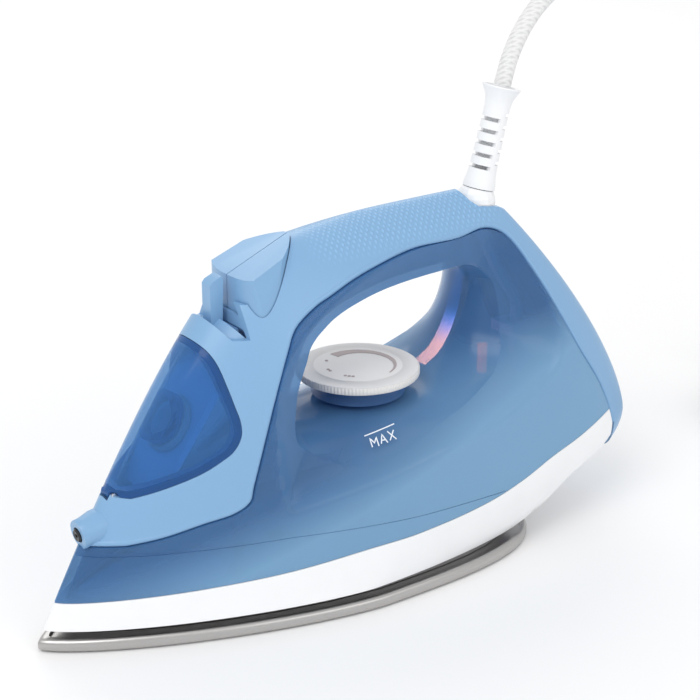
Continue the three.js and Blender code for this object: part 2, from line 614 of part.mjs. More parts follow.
// ---------- electrical parts in the heel ----------
const terminalBlock = () => slab(246, 270, -12, 8, 46, 58).subtract(slab(250, 266, -8, 4, 54, 60));
const cordClamp = () => slab(246, 262, -8, 8, 86, 91).subtract(rod([254, 0, 80], [254, 0, 100], 4.4, 10));
const mainsLead = () => sweep([[231, 0, 142], [236, 0, 130], [246, 0, 112], [254, 0, 100], [254, 0, 80],
  [256, -2, 68], [257, -2, 60.5]], 3, 8, 20);

// ---------- cord ball and bend guide ----------
const GUIDE_AXIS = new THREE.Vector3(0.27, 0, 1).normalize();
const onGuide = (distance) => [BALL[0] + GUIDE_AXIS.x * distance, 0, BALL[2] + GUIDE_AXIS.z * distance];
const cordBall = () => ballSolid(BALL_RADIUS).subtract(rod(onGuide(-14), onGuide(14), 4.6, 12))
  .subtract(rod(onGuide(5.5), onGuide(14), 8.6, 12));
const GUIDE_START = 5.9;
const GUIDE_LENGTH = 46;
const cordGuide = () => {
  const end = GUIDE_START + GUIDE_LENGTH;
  let guide = turned([[4.3, GUIDE_START], [7.4, GUIDE_START], [6.4, GUIDE_START + 6], [5.8, end - 12],
    [6.2, end - 6], [8.8, end], [7.2, end], [4.3, end - 5]], BALL, GUIDE_AXIS.toArray(), 16);
  for (let i = 0; i < 5; i++) {
    for (const side of [-1, 1]) {
      const middle = GUIDE_START + 9.5 + i * 5.4 + (side > 0 ? 2.7 : 0);
      const low = onGuide(middle - 0.9);
      const high = onGuide(middle + 0.9);
      const cut = sideProfile([[low[0] + side * 1.2, low[2]], [low[0] + side * 12, low[2] - side * 3.2],
        [high[0] + side * 12, high[2] - side * 3.2], [high[0] + side * 1.2, high[2]]]);
      guide = guide.subtract(cut);
    }
  }
  return guide;
};

// ---------- cord, coil and plug ----------
const CORD_RADIUS = 3.9;
const COIL_CENTRE = [451, -24];
const COIL_MEAN_RADIUS = 51;
const COIL_HALF_WIDTH = 12;
const COIL_BASE = 0.8;
const COIL_TOP = 16.4;
// Hand-laid route: up out of the guide, over, down behind the heel and round onto the coil.
const CORD_ROUTE = [[241.6, 0, 204.4], [245.8, 0, 217], [252.5, 0, 228.6], [262, 0, 238.6], [274, 0, 246],
  [288.5, 0, 250.6], [304, 0, 252.4], [320, 0, 252], [337, 0, 249], [352, 0, 243], [366.5, 0.5, 232.5],
  [378, 1.4, 217.5], [387, 2.8, 199], [393, 4.8, 176], [397, 7.2, 150], [399.2, 9.8, 124], [400, 12, 98],
  [400, 13.2, 75], [400, 13, 57.4], [400, 9.5, 41.8], [400, -0.2, 29.1], [400, -11.3, 22.6], [400, -22, 20.4]];
const cord = () => sweep(CORD_ROUTE, CORD_RADIUS, 8, 34);
const coilRing = () => turned([[COIL_MEAN_RADIUS - COIL_HALF_WIDTH, COIL_BASE],
  [COIL_MEAN_RADIUS + COIL_HALF_WIDTH, COIL_BASE], [COIL_MEAN_RADIUS + COIL_HALF_WIDTH, COIL_TOP],
  [COIL_MEAN_RADIUS - COIL_HALF_WIDTH, COIL_TOP]], [...COIL_CENTRE, 0], [0, 0, 1], 28);

// A place over the coil: radius and angle round its middle, at a height.
const overCoil = (radius, degrees, z) => [
  COIL_CENTRE[0] + radius * Math.cos(degrees * Math.PI / 180),
  COIL_CENTRE[1] + radius * Math.sin(degrees * Math.PI / 180), z];
const coilTie = () => {
  const reach = COIL_HALF_WIDTH + 0.9;
  const band = slab(COIL_MEAN_RADIUS - reach - 0.9, COIL_MEAN_RADIUS + reach + 0.9, -4.5, 4.5,
    0.3, COIL_TOP + 1.4);
  const wrap = band.subtract(
    slab(COIL_MEAN_RADIUS - reach, COIL_MEAN_RADIUS + reach, -6, 6, -1, COIL_TOP + 0.5));
  return wrap.rotate([0, 0, 235]).translate([...COIL_CENTRE, 0]);
};

// The plug lies on the coil along a chord; its axis points from the cord to the pins.
const PLUG_HEADING = 120;
const PLUG_HEIGHT = 29.2;
const PLUG_OFFSET = 44;
const PLUG_AXIS = [Math.cos(PLUG_HEADING * Math.PI / 180), Math.sin(PLUG_HEADING * Math.PI / 180), 0];
const alongPlug = (distance, side = 0) => [
  COIL_CENTRE[0] + PLUG_AXIS[0] * distance + PLUG_AXIS[1] * (PLUG_OFFSET + side),
  COIL_CENTRE[1] + PLUG_AXIS[1] * distance - PLUG_AXIS[0] * (PLUG_OFFSET + side), PLUG_HEIGHT];
const CORD_END_ROUTE = [overCoil(58.8, 288, 20.8), overCoil(58.8, 300, 22.8), overCoil(58.4, 311, 24.8),
  overCoil(56.4, 325, 27.2), overCoil(52.8, 340, 28.7), alongPlug(-18), alongPlug(-12.6)];
const cordEnd = () => sweep(CORD_END_ROUTE, CORD_RADIUS, 8, 10);
const plugBody = () => turned([[0, -12], [5.2, -12], [6.4, 2], [10.5, 8], [12.5, 14], [12.5, 38], [11.5, 41],
  [0, 41]], alongPlug(0), PLUG_AXIS, 16);
const plugPin = (side) => rodGeometry(alongPlug(41.3, side * 7), alongPlug(59.5, side * 7), 2.3, 10);

// ---------- assembly ----------
addPiece('soleplate', soleplate(), metal(GREY_METAL, 0.3));
addPiece('sole_casting', soleCasting(), metal(0x8b8d90, 0.5));
addPiece('steam_chamber_cover', chamberCover(), metal(0xb0b2b5));
addPiece('heating_element', heatingElement(), metal(0x707274));
addPiece('thermostat', thermostat(), metal(0xa8a49a));
addPiece('thermal_fuse', thermalFuse(), plastic(0xd8d2c4));
addPiece('heat_shield', heatShield(), metal(0xc4c6c8));
addPiece('skirt', skirt(), plastic(WHITE));
addPiece('tank_base', tankBase(), clear(TANK_BLUE, 0.75));
addPiece('water_tank', waterTank(), clear(TANK_BLUE, 0.6));
addPiece('rear_housing', rearHousing(), clear(TANK_BLUE, 0.6));
addPiece('handle_liner', handleLiner(), clear(0x5b86bd, 0.8));
addPiece('column_liner', columnLiner(), clear(0x5b86bd, 0.8));
addPiece('handle_shell', handleShell(), plastic(SHELL_BLUE));
addPiece('heel_plate', heelPlate(), plastic(SHELL_BLUE));
addPiece('fill_door', fillDoor(), clear(DOOR_BLUE, 0.6));
addPiece('door_hinge_pin', hingePin(), metal(GREY_METAL));
addPiece('filler_tray', fillerTray(), clear(0x8fb4dd, 0.8));
addPiece('filler_seal', fillerSeal(), plastic(0xaab2b8, 0.8));
addPiece('spray_nozzle', sprayNozzle(), plastic(0x17181a));
addPiece('spray_button', pushButton(-1), plastic(SHELL_BLUE));
addPiece('steam_button', pushButton(1), plastic(SHELL_BLUE));
addPiece('spray_pump', pumpBody(-1), plastic(WHITE));
addPiece('steam_pump', pumpBody(1), plastic(WHITE));
addPiece('spray_plunger', pumpPlunger(-1), plastic(0x2b2d30));
addPiece('steam_plunger', pumpPlunger(1), plastic(0x2b2d30));
addPiece('spray_spring', returnSpring(-1), metal(0xb9babb));
addPiece('steam_spring', returnSpring(1), metal(0xb9babb));
addPiece('spray_hose', sprayHose(), clear(0xdfe4ea, 0.7));
addPiece('steam_lever', steamLever(), plastic(SHELL_BLUE));
addPiece('valve_rod', valveRod(), plastic(0xd9dde1));
addPiece('temperature_dial', temperatureDial(), plastic(0xe9e8e6));
addPiece('dial_shaft', dialShaft(), plastic(WHITE));
addPiece('dial_pedestal', dialPedestal(), clear(0x5b86bd, 0.8));
addPiece('indicator_lamp', indicatorLamp(), plastic(0xff5a28));
addPiece('light_guide', lightGuide(), clear(0x3d8fd6, 0.7));
addPiece('terminal_block', terminalBlock(), plastic(0xe6e3da));
addPiece('cord_clamp', cordClamp(), plastic(WHITE));
addPiece('mains_lead', mainsLead(), plastic(WHITE));
addPiece('cord_ball', cordBall(), plastic(WHITE));
addPiece('cord_guide', cordGuide(), plastic(WHITE));
addPiece('cord', cord(), plastic(WHITE, 0.8));
addPiece('cord_coil', coilRing(), plastic(WHITE, 0.8));
addPiece('cord_end', cordEnd(), plastic(WHITE, 0.8));
addPiece('cord_tie', coilTie(), plastic(0x2b2d30));
addPiece('plug_body', plugBody(), plastic(WHITE));
addPiece('plug_pin_left', plugPin(-1), metal(0xc9cacc));
addPiece('plug_pin_right', plugPin(1), metal(0xc9cacc));

export default iron;
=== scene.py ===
"""Steam iron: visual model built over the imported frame.

Lengths are in millimetres while a piece is being shaped. Along the iron they are
counted from the tip of the sole ("station"); to_frame() turns them into metres.
"""
import math

import bmesh
import bpy
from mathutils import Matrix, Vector


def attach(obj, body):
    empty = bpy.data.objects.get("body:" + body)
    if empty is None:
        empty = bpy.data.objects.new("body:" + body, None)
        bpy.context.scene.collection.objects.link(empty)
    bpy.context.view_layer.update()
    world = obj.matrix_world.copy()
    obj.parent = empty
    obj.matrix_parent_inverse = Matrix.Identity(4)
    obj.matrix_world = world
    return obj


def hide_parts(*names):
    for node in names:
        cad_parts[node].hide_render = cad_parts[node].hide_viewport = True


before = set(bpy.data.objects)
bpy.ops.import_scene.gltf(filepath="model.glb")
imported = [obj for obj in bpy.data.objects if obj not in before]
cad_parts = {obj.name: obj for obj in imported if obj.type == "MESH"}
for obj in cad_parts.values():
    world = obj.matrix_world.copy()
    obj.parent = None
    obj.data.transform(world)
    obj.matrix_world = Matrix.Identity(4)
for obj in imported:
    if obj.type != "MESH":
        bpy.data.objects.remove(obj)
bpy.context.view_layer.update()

# ---------- driving dimensions, in millimetres ----------
MM = 0.001
LENGTH = 300
HEIGHT = 161
GAP = 0.3
WALL = 2.6
SKIRT_BOTTOM = 9
BODY_HALF_WIDTH = 51
SOLE_LENGTH = 242.65
SOLE_HALF_WIDTH = 54.1
DECK_HEIGHT = 78
DIAL_STATION = 163
DIAL_RADIUS = 27.5
DIAL_BASE = 85.6
DIAL_TOP = 89.8
CORD_DIAMETER = 7.8


def to_frame(point):
    """A point in millimetres, counted from the sole tip, in the row frame in metres."""
    x, y, z = point
    return Vector(((x - LENGTH / 2) * MM, y * MM, z * MM))


# ---------- camera ----------
def make_camera():
    data = bpy.data.cameras.new("camera")
    data.lens = 98.86
    data.sensor_width = 36
    data.clip_start = 0.01
    data.clip_end = 50
    camera = bpy.data.objects.new("camera", data)
    bpy.context.collection.objects.link(camera)
    camera.location = (-0.44951, -0.63897, 0.40877)
    aim = Vector((0.01047, 0.00245, 0.09633)) - camera.location
    camera.rotation_euler = aim.to_track_quat("-Z", "Y").to_euler()
    bpy.context.scene.camera = camera


make_camera()


# ---------- lines ----------
def smooth_line(points, steps=6, closed=False):
    """Centripetal Catmull-Rom line through the points, with steps places for each span."""
    points = [Vector(p) for p in points]
    if closed:
        chain = [points[-1], *points, points[0], points[1]]
    else:
        chain = [2 * points[0] - points[1], *points, 2 * points[-1] - points[-2]]
    line = []
    for p0, p1, p2, p3 in zip(chain, chain[1:], chain[2:], chain[3:]):
        t1 = math.sqrt((p1 - p0).length)
        t2 = t1 + math.sqrt((p2 - p1).length)
        t3 = t2 + math.sqrt((p3 - p2).length)
        for i in range(steps):
            t = t1 + (t2 - t1) * i / steps
            a1 = p0.lerp(p1, t / t1)
            a2 = p1.lerp(p2, (t - t1) / (t2 - t1))
            a3 = p2.lerp(p3, (t - t2) / (t3 - t2))
            b1 = a1.lerp(a2, t / t2)
            b2 = a2.lerp(a3, (t - t1) / (t3 - t1))
            line.append(b1.lerp(b2, (t - t1) / (t2 - t1)))
    if not closed:
        line.append(points[-1])
    return line


def grow_outline(points, distance):
    """A closed flat outline with each point moved outwards along its corner's normal."""
    points = [Vector(p) for p in points]
    area = sum(p.x * q.y - q.x * p.y for p, q in zip(points, points[1:] + points[:1]))
    side = 1 if area > 0 else -1
    grown = []
    for i, point in enumerate(points):
        a = (point - points[i - 1]).normalized()
        b = (points[(i + 1) % len(points)] - point).normalized()
        normal = Vector((a.y + b.y, -a.x - b.x)).normalized()
        reach = distance / max(0.5, normal.dot(Vector((a.y, -a.x))))
        grown.append(point + side * reach * normal)
    return grown


# ---------- cord route, the same points as the CAD solids follow ----------
COIL_CENTRE = (451, -24)
COIL_BASE = 0.8
CORD_ROUTE = [
    (241.6, 0, 204.4), (245.8, 0, 217), (252.5, 0, 228.6), (262, 0, 238.6), (274, 0, 246),
    (288.5, 0, 250.6), (304, 0, 252.4), (320, 0, 252), (337, 0, 249), (352, 0, 243),
    (366.5, 0.5, 232.5), (378, 1.4, 217.5), (387, 2.8, 199), (393, 4.8, 176), (397, 7.2, 150),
    (399.2, 9.8, 124), (400, 12, 98), (400, 13.2, 75), (400, 13, 57.4), (400, 9.5, 41.8),
    (400, -0.2, 29.1), (400, -11.3, 22.6), (400, -22, 20.4)]
COIL_SLOTS = (43.2, 51.0, 58.8)
COIL_LAYERS = (COIL_BASE + 3.9, COIL_BASE + 11.7)
# Radius slot and layer of each turn, in the order they are laid.
COIL_ORDER = [(1, 1), (0, 1), (0, 0), (1, 0), (2, 0), (2, 1)]
# Degrees of turn: how long a shift to the next slot takes, the first and last place on the
# coil, and the spacing of its points.
SHIFT_DEGREES = 96
COIL_FIRST = 12
COIL_LAST = 360 * (len(COIL_ORDER) - 1) + 104
COIL_STEP = 12
# The route lands on the coil from above over the first degrees, and climbs off the last turn.
LANDING_DROP, LANDING_DEGREES = 7.9, 54
CLIMB, CLIMB_START, CLIMB_DEGREES = 8.4, 46, 60
PLUG_HEADING = math.radians(120)
PLUG_HEIGHT = 29.2
PLUG_OFFSET = 44


def over_coil(radius, degrees, z):
    angle = math.radians(degrees)
    return (COIL_CENTRE[0] + radius * math.cos(angle),
            COIL_CENTRE[1] + radius * math.sin(angle), z)


def along_plug(distance, side=0.0):
    ax, ay = math.cos(PLUG_HEADING), math.sin(PLUG_HEADING)
    return (COIL_CENTRE[0] + ax * distance + ay * (PLUG_OFFSET + side),
            COIL_CENTRE[1] + ay * distance - ax * (PLUG_OFFSET + side), PLUG_HEIGHT)


CORD_END_ROUTE = [
    over_coil(58.8, 288, 20.8), over_coil(58.8, 300, 22.8), over_coil(58.4, 311, 24.8),
    over_coil(56.4, 325, 27.2), over_coil(52.8, 340, 28.7), along_plug(-18), along_plug(-12.6)]


def ease(t):
    t = min(1.0, max(0.0, t))
    return t * t * (3 - 2 * t)


def coil_points():
    """The wound turns: each keeps its slot and shifts to the next one near the start angle."""
    places = []
    for degrees in range(COIL_FIRST, COIL_LAST, COIL_STEP):
        turn = min(len(COIL_ORDER) - 1, degrees // 360)
        within = degrees - 360 * turn
        slot, layer = COIL_ORDER[turn]
        radius, z = COIL_SLOTS[slot], COIL_LAYERS[layer]
        if turn + 1 < len(COIL_ORDER) and within > 360 - SHIFT_DEGREES:
            next_slot, next_layer = COIL_ORDER[turn + 1]
            t = ease((within - 360 + SHIFT_DEGREES) / SHIFT_DEGREES)
            radius += t * (COIL_SLOTS[next_slot] - radius)
            z += t * (COIL_LAYERS[next_layer] - z)
        if turn == 0:
            z += LANDING_DROP * (1 - ease(within / LANDING_DEGREES))
        if turn == len(COIL_ORDER) - 1:
            z += CLIMB * ease((within - CLIMB_START) / CLIMB_DEGREES)
        places.append(over_coil(radius, 180 + degrees, z))
    return places


def cord_path():
    return smooth_line([*CORD_ROUTE, *coil_points(), *CORD_END_ROUTE], 5)


# ---------- mesh building ----------
def new_piece(name, points, faces):
    mesh = bpy.data.meshes.new(name)
    mesh.from_pydata([to_frame(p) for p in points], [], faces)
    piece = bpy.data.objects.new(name, mesh)
    bpy.context.collection.objects.link(piece)
    return piece


def tube(name, line, radius, sides=14):
    """A round tube along a line; radius is a number, or a function of the length run so far."""
    size = radius if callable(radius) else lambda run: radius
    line = [Vector(p) for p in line]
    points, faces = [], []
    across = None
    run = 0.0
    for i, place in enumerate(line):
        ahead = line[min(i + 1, len(line) - 1)]
        behind = line[max(i - 1, 0)]
        if i:
            run += (place - line[i - 1]).length
        along = (ahead - behind).normalized()
        if across is None:
            across = along.orthogonal().normalized()
        across = (across - along * across.dot(along)).normalized()
        other = along.cross(across)
        for k in range(sides):
            angle = 2 * math.pi * k / sides
            reach = size(run)
            points.append(place + across * reach * math.cos(angle) + other * reach * math.sin(angle))
    for i in range(len(line) - 1):
        for k in range(sides):
            a, b = i * sides + k, i * sides + (k + 1) % sides
            faces.append((a, b, b + sides, a + sides))
    faces.append(tuple(range(sides - 1, -1, -1)))
    faces.append(tuple(range(len(points) - sides, len(points))))
    return new_piece(name, points, faces)


def tidy_mesh(piece, merge=1e-6):
    work = bmesh.new()
    work.from_mesh(piece.data)
    bmesh.ops.remove_doubles(work, verts=work.verts, dist=merge)
    bmesh.ops.recalc_face_normals(work, faces=work.faces)
    work.to_mesh(piece.data)
    work.free()
    return piece


def side_profile(points, y0=-80, y1=80, name="tool"):
    """An outline seen from the side, [station, height] pairs, pushed through from y0 to y1."""
    count = len(points)
    places = [(x, y0, z) for x, z in points] + [(x, y1, z) for x, z in points]
    faces = [tuple(range(count)), tuple(range(2 * count - 1, count - 1, -1))]
    faces += [(i, i + count, (i + 1) % count + count, (i + 1) % count) for i in range(count)]
    return tidy_mesh(new_piece(name, places, faces))


def plan_prism(points, z0, z1, name="tool"):
    """An outline seen from above, [station, y] pairs, raised from z0 to z1."""
    count = len(points)
    places = [(x, y, z0) for x, y in points] + [(x, y, z1) for x, y in points]
    faces = [tuple(range(count)), tuple(range(2 * count - 1, count - 1, -1))]
    faces += [(i, i + count, (i + 1) % count + count, (i + 1) % count) for i in range(count)]
    return tidy_mesh(new_piece(name, places, faces))


def slab(x0, x1, y0, y1, z0, z1, name="tool"):
    return plan_prism([(x0, y0), (x1, y0), (x1, y1), (x0, y1)], z0, z1, name)


def turned(profile, place, direction, sides=64, name="tool", wobble=None):
    """A profile of [radius, distance] pairs turned about an axis through a point."""
    hollow = profile[0][0] > 0
    count = len(profile)
    axis = Vector(direction).normalized()
    turn = Vector((0, 0, 1)).rotation_difference(axis).to_matrix()
    points, faces = [], []
    for k in range(sides):
        angle = 2 * math.pi * k / sides
        for j, (radius, distance) in enumerate(profile):
            r = radius if wobble is None else wobble(radius, distance, k)
            spoke = Vector((r * math.cos(angle), r * math.sin(angle), distance))
            points.append(Vector(place) + turn @ spoke)
    for k in range(sides):
        here, after = k * count, (k + 1) % sides * count
        for j in range(count if hollow else count - 1):
            nxt = (j + 1) % count
            faces.append((here + j, after + j, after + nxt, here + nxt))
    return tidy_mesh(new_piece(name, points, faces))


def rod(start, end, radius, sides=40, name="tool"):
    start, end = Vector(start), Vector(end)
    length = (end - start).length
    return turned([(0, 0), (radius, 0), (radius, length), (0, length)], start, end - start, sides, name)


def combine(piece, tool, operation):
    change = piece.modifiers.new("combine", "BOOLEAN")
    change.operation = operation
    change.solver = "MANIFOLD"
    change.object = tool
    seen = piece.evaluated_get(bpy.context.evaluated_depsgraph_get())
    mesh = bpy.data.meshes.new_from_object(seen)
    piece.modifiers.clear()
    piece.data = mesh
    bpy.data.objects.remove(tool)
    return piece


def cut(piece, *tools):
    for tool in tools:
        combine(piece, tool, "DIFFERENCE")
    return piece


def keep(piece, *tools):
    for tool in tools:
        combine(piece, tool, "INTERSECT")
    return piece


def join(piece, *tools):
    for tool in tools:
        combine(piece, tool, "UNION")
    return piece


def finish_piece(piece, name, body, material, nodes=(), bevel=0.0, sharp=32):
    """Names a piece, rounds its edges, gives it its material and sets it on its body."""
    piece.name = name
    tidy_mesh(piece, 2e-5)
    piece.data.materials.clear()
    piece.data.materials.append(material)
    piece.data.shade_smooth()
    piece.data.set_sharp_from_angle(angle=math.radians(sharp))
    if bevel:
        rounding = piece.modifiers.new("rounding", "BEVEL")
        rounding.width = bevel * MM
        rounding.segments = 3
        rounding.limit_method = "ANGLE"
        rounding.angle_limit = math.radians(38)
        rounding.use_clamp_overlap = True
        rounding.harden_normals = True
    if nodes:
        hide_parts(*nodes)
    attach(piece, body)
    return piece


# ---------- outer form ----------
def plan_shape(u, lift):
    """Half-width along the plan, 0 at the tip to 1 at the heel, as a share of the widest place."""
    widest = 0.56 - 0.2 * lift
    if u <= widest:
        t = 1 - u / widest
        return max(0.0, 1 - t ** (1.42 + 0.5 * lift)) ** (0.77 - 0.32 * lift)
    v = (u - widest) / (1 - widest)
    return (1 - 0.27 * v * v) * max(0.0, 1 - v ** 9) ** (1 / 9)


def ridge_station(z):
    t = z - 8
    return 2.5 + 0.5 * t + 0.00125 * t * t + 0.12 * max(0.0, z - 148) ** 2.4


def heel_station(z):
    if z > 47:
        return LENGTH - 0.0935 * (z - 47) ** 1.4
    return LENGTH - 0.0415 * (47 - z) ** 2


def body_half_width(z):
    s = min(1.0, (z - SKIRT_BOTTOM) / (HEIGHT - SKIRT_BOTTOM))
    return BODY_HALF_WIDTH * (1 - s ** 2.2) ** 0.625


def stack_rings(rings, name="form"):
    """Closed solid through level rings; each ring is (z, [(x, half-width), ...]) from nose to heel."""
    count = len(rings[0][1])
    around = 2 * count - 2
    points, faces = [], []
    for z, ring in rings:
        points += [(x, -half, z) for x, half in ring]
        points += [(x, half, z) for x, half in reversed(ring[1:-1])]
    for level in range(len(rings) - 1):
        base = level * around
        for i in range(around):
            a, b = base + i, base + (i + 1) % around
            faces.append((a, b, b + around, a + around))
    top = (len(rings) - 1) * around
    faces.append(tuple(range(around - 1, -1, -1)))
    faces.append(tuple(range(top, top + around)))
    return new_piece(name, points, faces)


def levels(low, high, count, power=1.0):
    """Heights from low to high, packed closer near the top when power is over 1."""
    return [high - (high - low) * (1 - i / count) ** power for i in range(count + 1)]


def plan_steps(lift, nose=64, tail=56):
    widest = 0.56 - 0.2 * lift
    steps = [widest * (i / nose) ** 1.8 for i in range(nose)]
    steps += [widest + (1 - widest) * (1 - (1 - j / tail) ** 2.2) for j in range(tail + 1)]
    return steps


def form(inset, heights, shaped):
    """A body form drawn in by an inset; shaped(x, z, half) may reduce the half-width."""
    rings = []
    for z in heights:
        lift = (z - SKIRT_BOTTOM) / 140
        front = ridge_station(z) + 1.9 * inset
        back = heel_station(z) - inset
        half = max(1.2, body_half_width(z) - inset)
        ring = []
        for u in plan_steps(lift):
            x = front + u * (back - front)
            ring.append((x, shaped(x, z, half * plan_shape(u, lift))))
        crown = inset * (z - 140) / (HEIGHT - 140) if z > 140 else 0
        rings.append((z - crown, ring))
    return stack_rings(rings)


def outer_form(inset=0.0):
    return form(inset, levels(9, 160.9, 74, 1.35), lambda x, z, half: half)


# The blue body's sides are drawn in inside this line, round the hand opening.
SCOOP = smooth_line([
    (100, 49.5), (107, 50.5), (121, 53), (136, 55.5), (153, 58.5), (176, 62.5), (203, 66), (232, 75.5),
    (245, 81.5), (250.5, 89), (251.5, 97), (249, 106), (243, 122), (230, 143), (214, 147), (160, 142),
    (120, 126), (100, 100)], 4, closed=True)
SCOOP_DEPTH = 13
SCOOP_REACH = 30


def depth_inside(outline, x, z):
    """Distance from a place inside a closed outline to its line, or 0 outside it."""
    inside = False
    nearest = 1e9
    for a, b in zip(outline, outline[1:] + outline[:1]):
        if (a.y > z) != (b.y > z) and x < a.x + (z - a.y) / (b.y - a.y) * (b.x - a.x):
            inside = not inside
        run = b - a
        t = min(1.0, max(0.0, ((x - a.x) * run.x + (z - a.y) * run.y) / run.length_squared))
        nearest = min(nearest, math.hypot(x - a.x - t * run.x, z - a.y - t * run.y))
    return nearest if inside else 0.0


def drawn_in(x, z, half):
    """Half-width of the blue body: the outer form less the scoop round the hand opening."""
    reach = min(1.0, depth_inside(SCOOP, x, z) / SCOOP_REACH)
    depth = SCOOP_DEPTH * (1 - (1 - reach) ** 2) * ease(half / 16)
    return max(0.4, half - depth) if half > 0.4 else half


def blue_form(inset=0.0):
    return form(inset, levels(9, 160.9, 110, 1.1), drawn_in)


# ---------- side view lines ----------
SKIRT_TOP = smooth_line([(-5, 19), (10, 20), (60, 22), (100, 24), (135, 27), (160, 28), (185, 29.5),
                         (206, 32), (223, 36), (239, 41), (259, 45.5), (284, 52.5)], 4)
SKIRT_LOWER_BACK = smooth_line([(224, 9), (238, 16), (253, 26), (279, 34.5)], 6)
SHELL_BORDER = smooth_line([
    (37, 43), (50, 45.5), (66, 50), (79, 53.3), (85, 57.5), (87, 64), (94.5, 85.5), (101.3, 102.3),
    (108, 116), (113.5, 125), (124, 132), (132, 135), (144, 139), (158, 142), (180, 145), (205, 144.5),
    (222, 145.5), (232, 141), (244, 122), (255, 101), (264, 84), (274, 68), (281, 53), (284, 44)], 5)
HAND_OPENING = smooth_line([
    (110, 84), (112, 96), (118, 108), (121, 116), (128, 122), (137, 126.5), (158, 130.5),
    (190, 131.5), (210, 130), (217, 124), (218, 115), (214, 101), (206, 90), (195, 82), (183, 78),
    (118, 78)], 5, closed=True)
TANK_END = 210


def below_shell(clearance=0.0):
    outline = [(-20, 42), *SHELL_BORDER, (284, -20), (-20, -20)]
    return side_profile(grow_outline(outline, clearance))


def hand_opening(grow=0.0):
    """The hand's way through: its floor falls and its rear wall steps back towards both sides."""
    outline = grow_outline(HAND_OPENING, grow)
    count = len(outline)
    points, faces = [], []
    slices = range(-64, 65, 2)
    for y in slices:
        out = abs(y)
        for p in outline:
            rear = min(1.0, max(0.0, (p.x - 165) / 45))
            low = min(1.0, max(0.0, (104 - p.y) / 26))
            fall = 26 * min(1.0, max(0.0, (205 - p.x) / 109)) * (max(0, min(out, 50) - 12) / 32) ** 1.7
            points.append((p.x + 12 * rear * (min(out, 32) / 25) ** 2, y, p.y - fall * low))
    for i in range(len(slices) - 1):
        for k in range(count):
            a, b = i * count + k, i * count + (k + 1) % count
            faces.append((a, b, b + count, a + count))
    faces.append(tuple(range(count)))
    faces.append(tuple(range(len(points) - 1, len(points) - count - 1, -1)))
    return tidy_mesh(new_piece("tool", points, faces))


TRAY_SLOPE = Vector((0.56, 0, 0.83)).normalized()
TRAY_OUT = Vector((-TRAY_SLOPE.z, 0, TRAY_SLOPE.x))


def on_tray(along, out, y=0.0):
    place = Vector((64.3, 0, 77.8)) + TRAY_SLOPE * along + TRAY_OUT * out
    return (place.x, y, place.z)


# ---------- materials ----------
def new_material(name):
    material = bpy.data.materials.new(name)
    material.use_nodes = True
    tree = material.node_tree
    tree.nodes.clear()
    return material, tree


def add_node(tree, kind, inputs=None, **settings):
    node = tree.nodes.new(kind)
    for key, value in settings.items():
        setattr(node, key, value)
    for key, value in (inputs or {}).items():
        if isinstance(value, bpy.types.NodeSocket):
            tree.links.new(value, node.inputs[key])
        else:
            node.inputs[key].default_value = value
    return node


def place_texture(tree):
    """The place on the piece, in metres, which doesn't slide when the piece moves."""
    return add_node(tree, "ShaderNodeTexCoord").outputs["Object"]


def noise(tree, scale, detail=3.0):
    return add_node(tree, "ShaderNodeTexNoise", {"Vector": place_texture(tree), "Scale": scale,
                                                 "Detail": detail}).outputs["Fac"]


def spread(tree, value, low, high):
    """A 0 to 1 value stretched between low and high."""
    return add_node(tree, "ShaderNodeMapRange", {"Value": value, "To Min": low, "To Max": high}
                    ).outputs["Result"]


def two_tone(tree, value, first, second):
    mix = add_node(tree, "ShaderNodeMix", data_type="RGBA")
    tree.links.new(value, mix.inputs[0])
    mix.inputs[6].default_value = (*first, 1)
    mix.inputs[7].default_value = (*second, 1)
    return mix.outputs[2]


def bump(tree, height, strength, distance, normal=None):
    inputs = {"Height": height, "Strength": strength, "Distance": distance}
    if normal:
        inputs["Normal"] = normal
    return add_node(tree, "ShaderNodeBump", inputs).outputs["Normal"]


def output(tree, shader):
    add_node(tree, "ShaderNodeOutputMaterial", {"Surface": shader})


def shade(colour, factor):
    return tuple(min(1.0, c * factor) for c in colour)


def moulded(name, colour, roughness=0.35, grain=0.04, speckle=0.03, coat=0.0):
    """Injection-moulded plastic: a fine spark-eroded grain and a slight unevenness of tone."""
    material, tree = new_material(name)
    tone = two_tone(tree, noise(tree, 60), shade(colour, 1 - speckle), shade(colour, 1 + speckle))
    fine = noise(tree, 2600, 2)
    surface = add_node(tree, "ShaderNodeBsdfPrincipled", {
        "Base Color": tone,
        "Roughness": spread(tree, noise(tree, 140), roughness - 0.04, roughness + 0.05),
        "Normal": bump(tree, fine, grain, 0.0002), "Coat Weight": coat, "Coat Roughness": 0.12})
    output(tree, surface.outputs[0])
    return material


def clear_plastic(name, tint, body, cover=0.5, roughness=0.12):
    """Tinted see-through plastic: tinted light comes through, with a milky body and a gloss."""
    material, tree = new_material(name)
    through = add_node(tree, "ShaderNodeBsdfTransparent", {"Color": (*tint, 1)})
    tone = two_tone(tree, noise(tree, 25), shade(body, 0.95), shade(body, 1.05))
    surface = add_node(tree, "ShaderNodeBsdfPrincipled", {
        "Base Color": tone,
        "Roughness": spread(tree, noise(tree, 90), roughness, roughness + 0.08),
        "Normal": bump(tree, noise(tree, 700), 0.02, 0.0002)})
    facing = add_node(tree, "ShaderNodeLayerWeight", {"Blend": 0.35}).outputs["Facing"]
    amount = spread(tree, facing, cover, min(1.0, cover + 0.45))
    mix = add_node(tree, "ShaderNodeMixShader", {0: amount, 1: through.outputs[0],
                                                2: surface.outputs[0]})
    output(tree, mix.outputs[0])
    return material


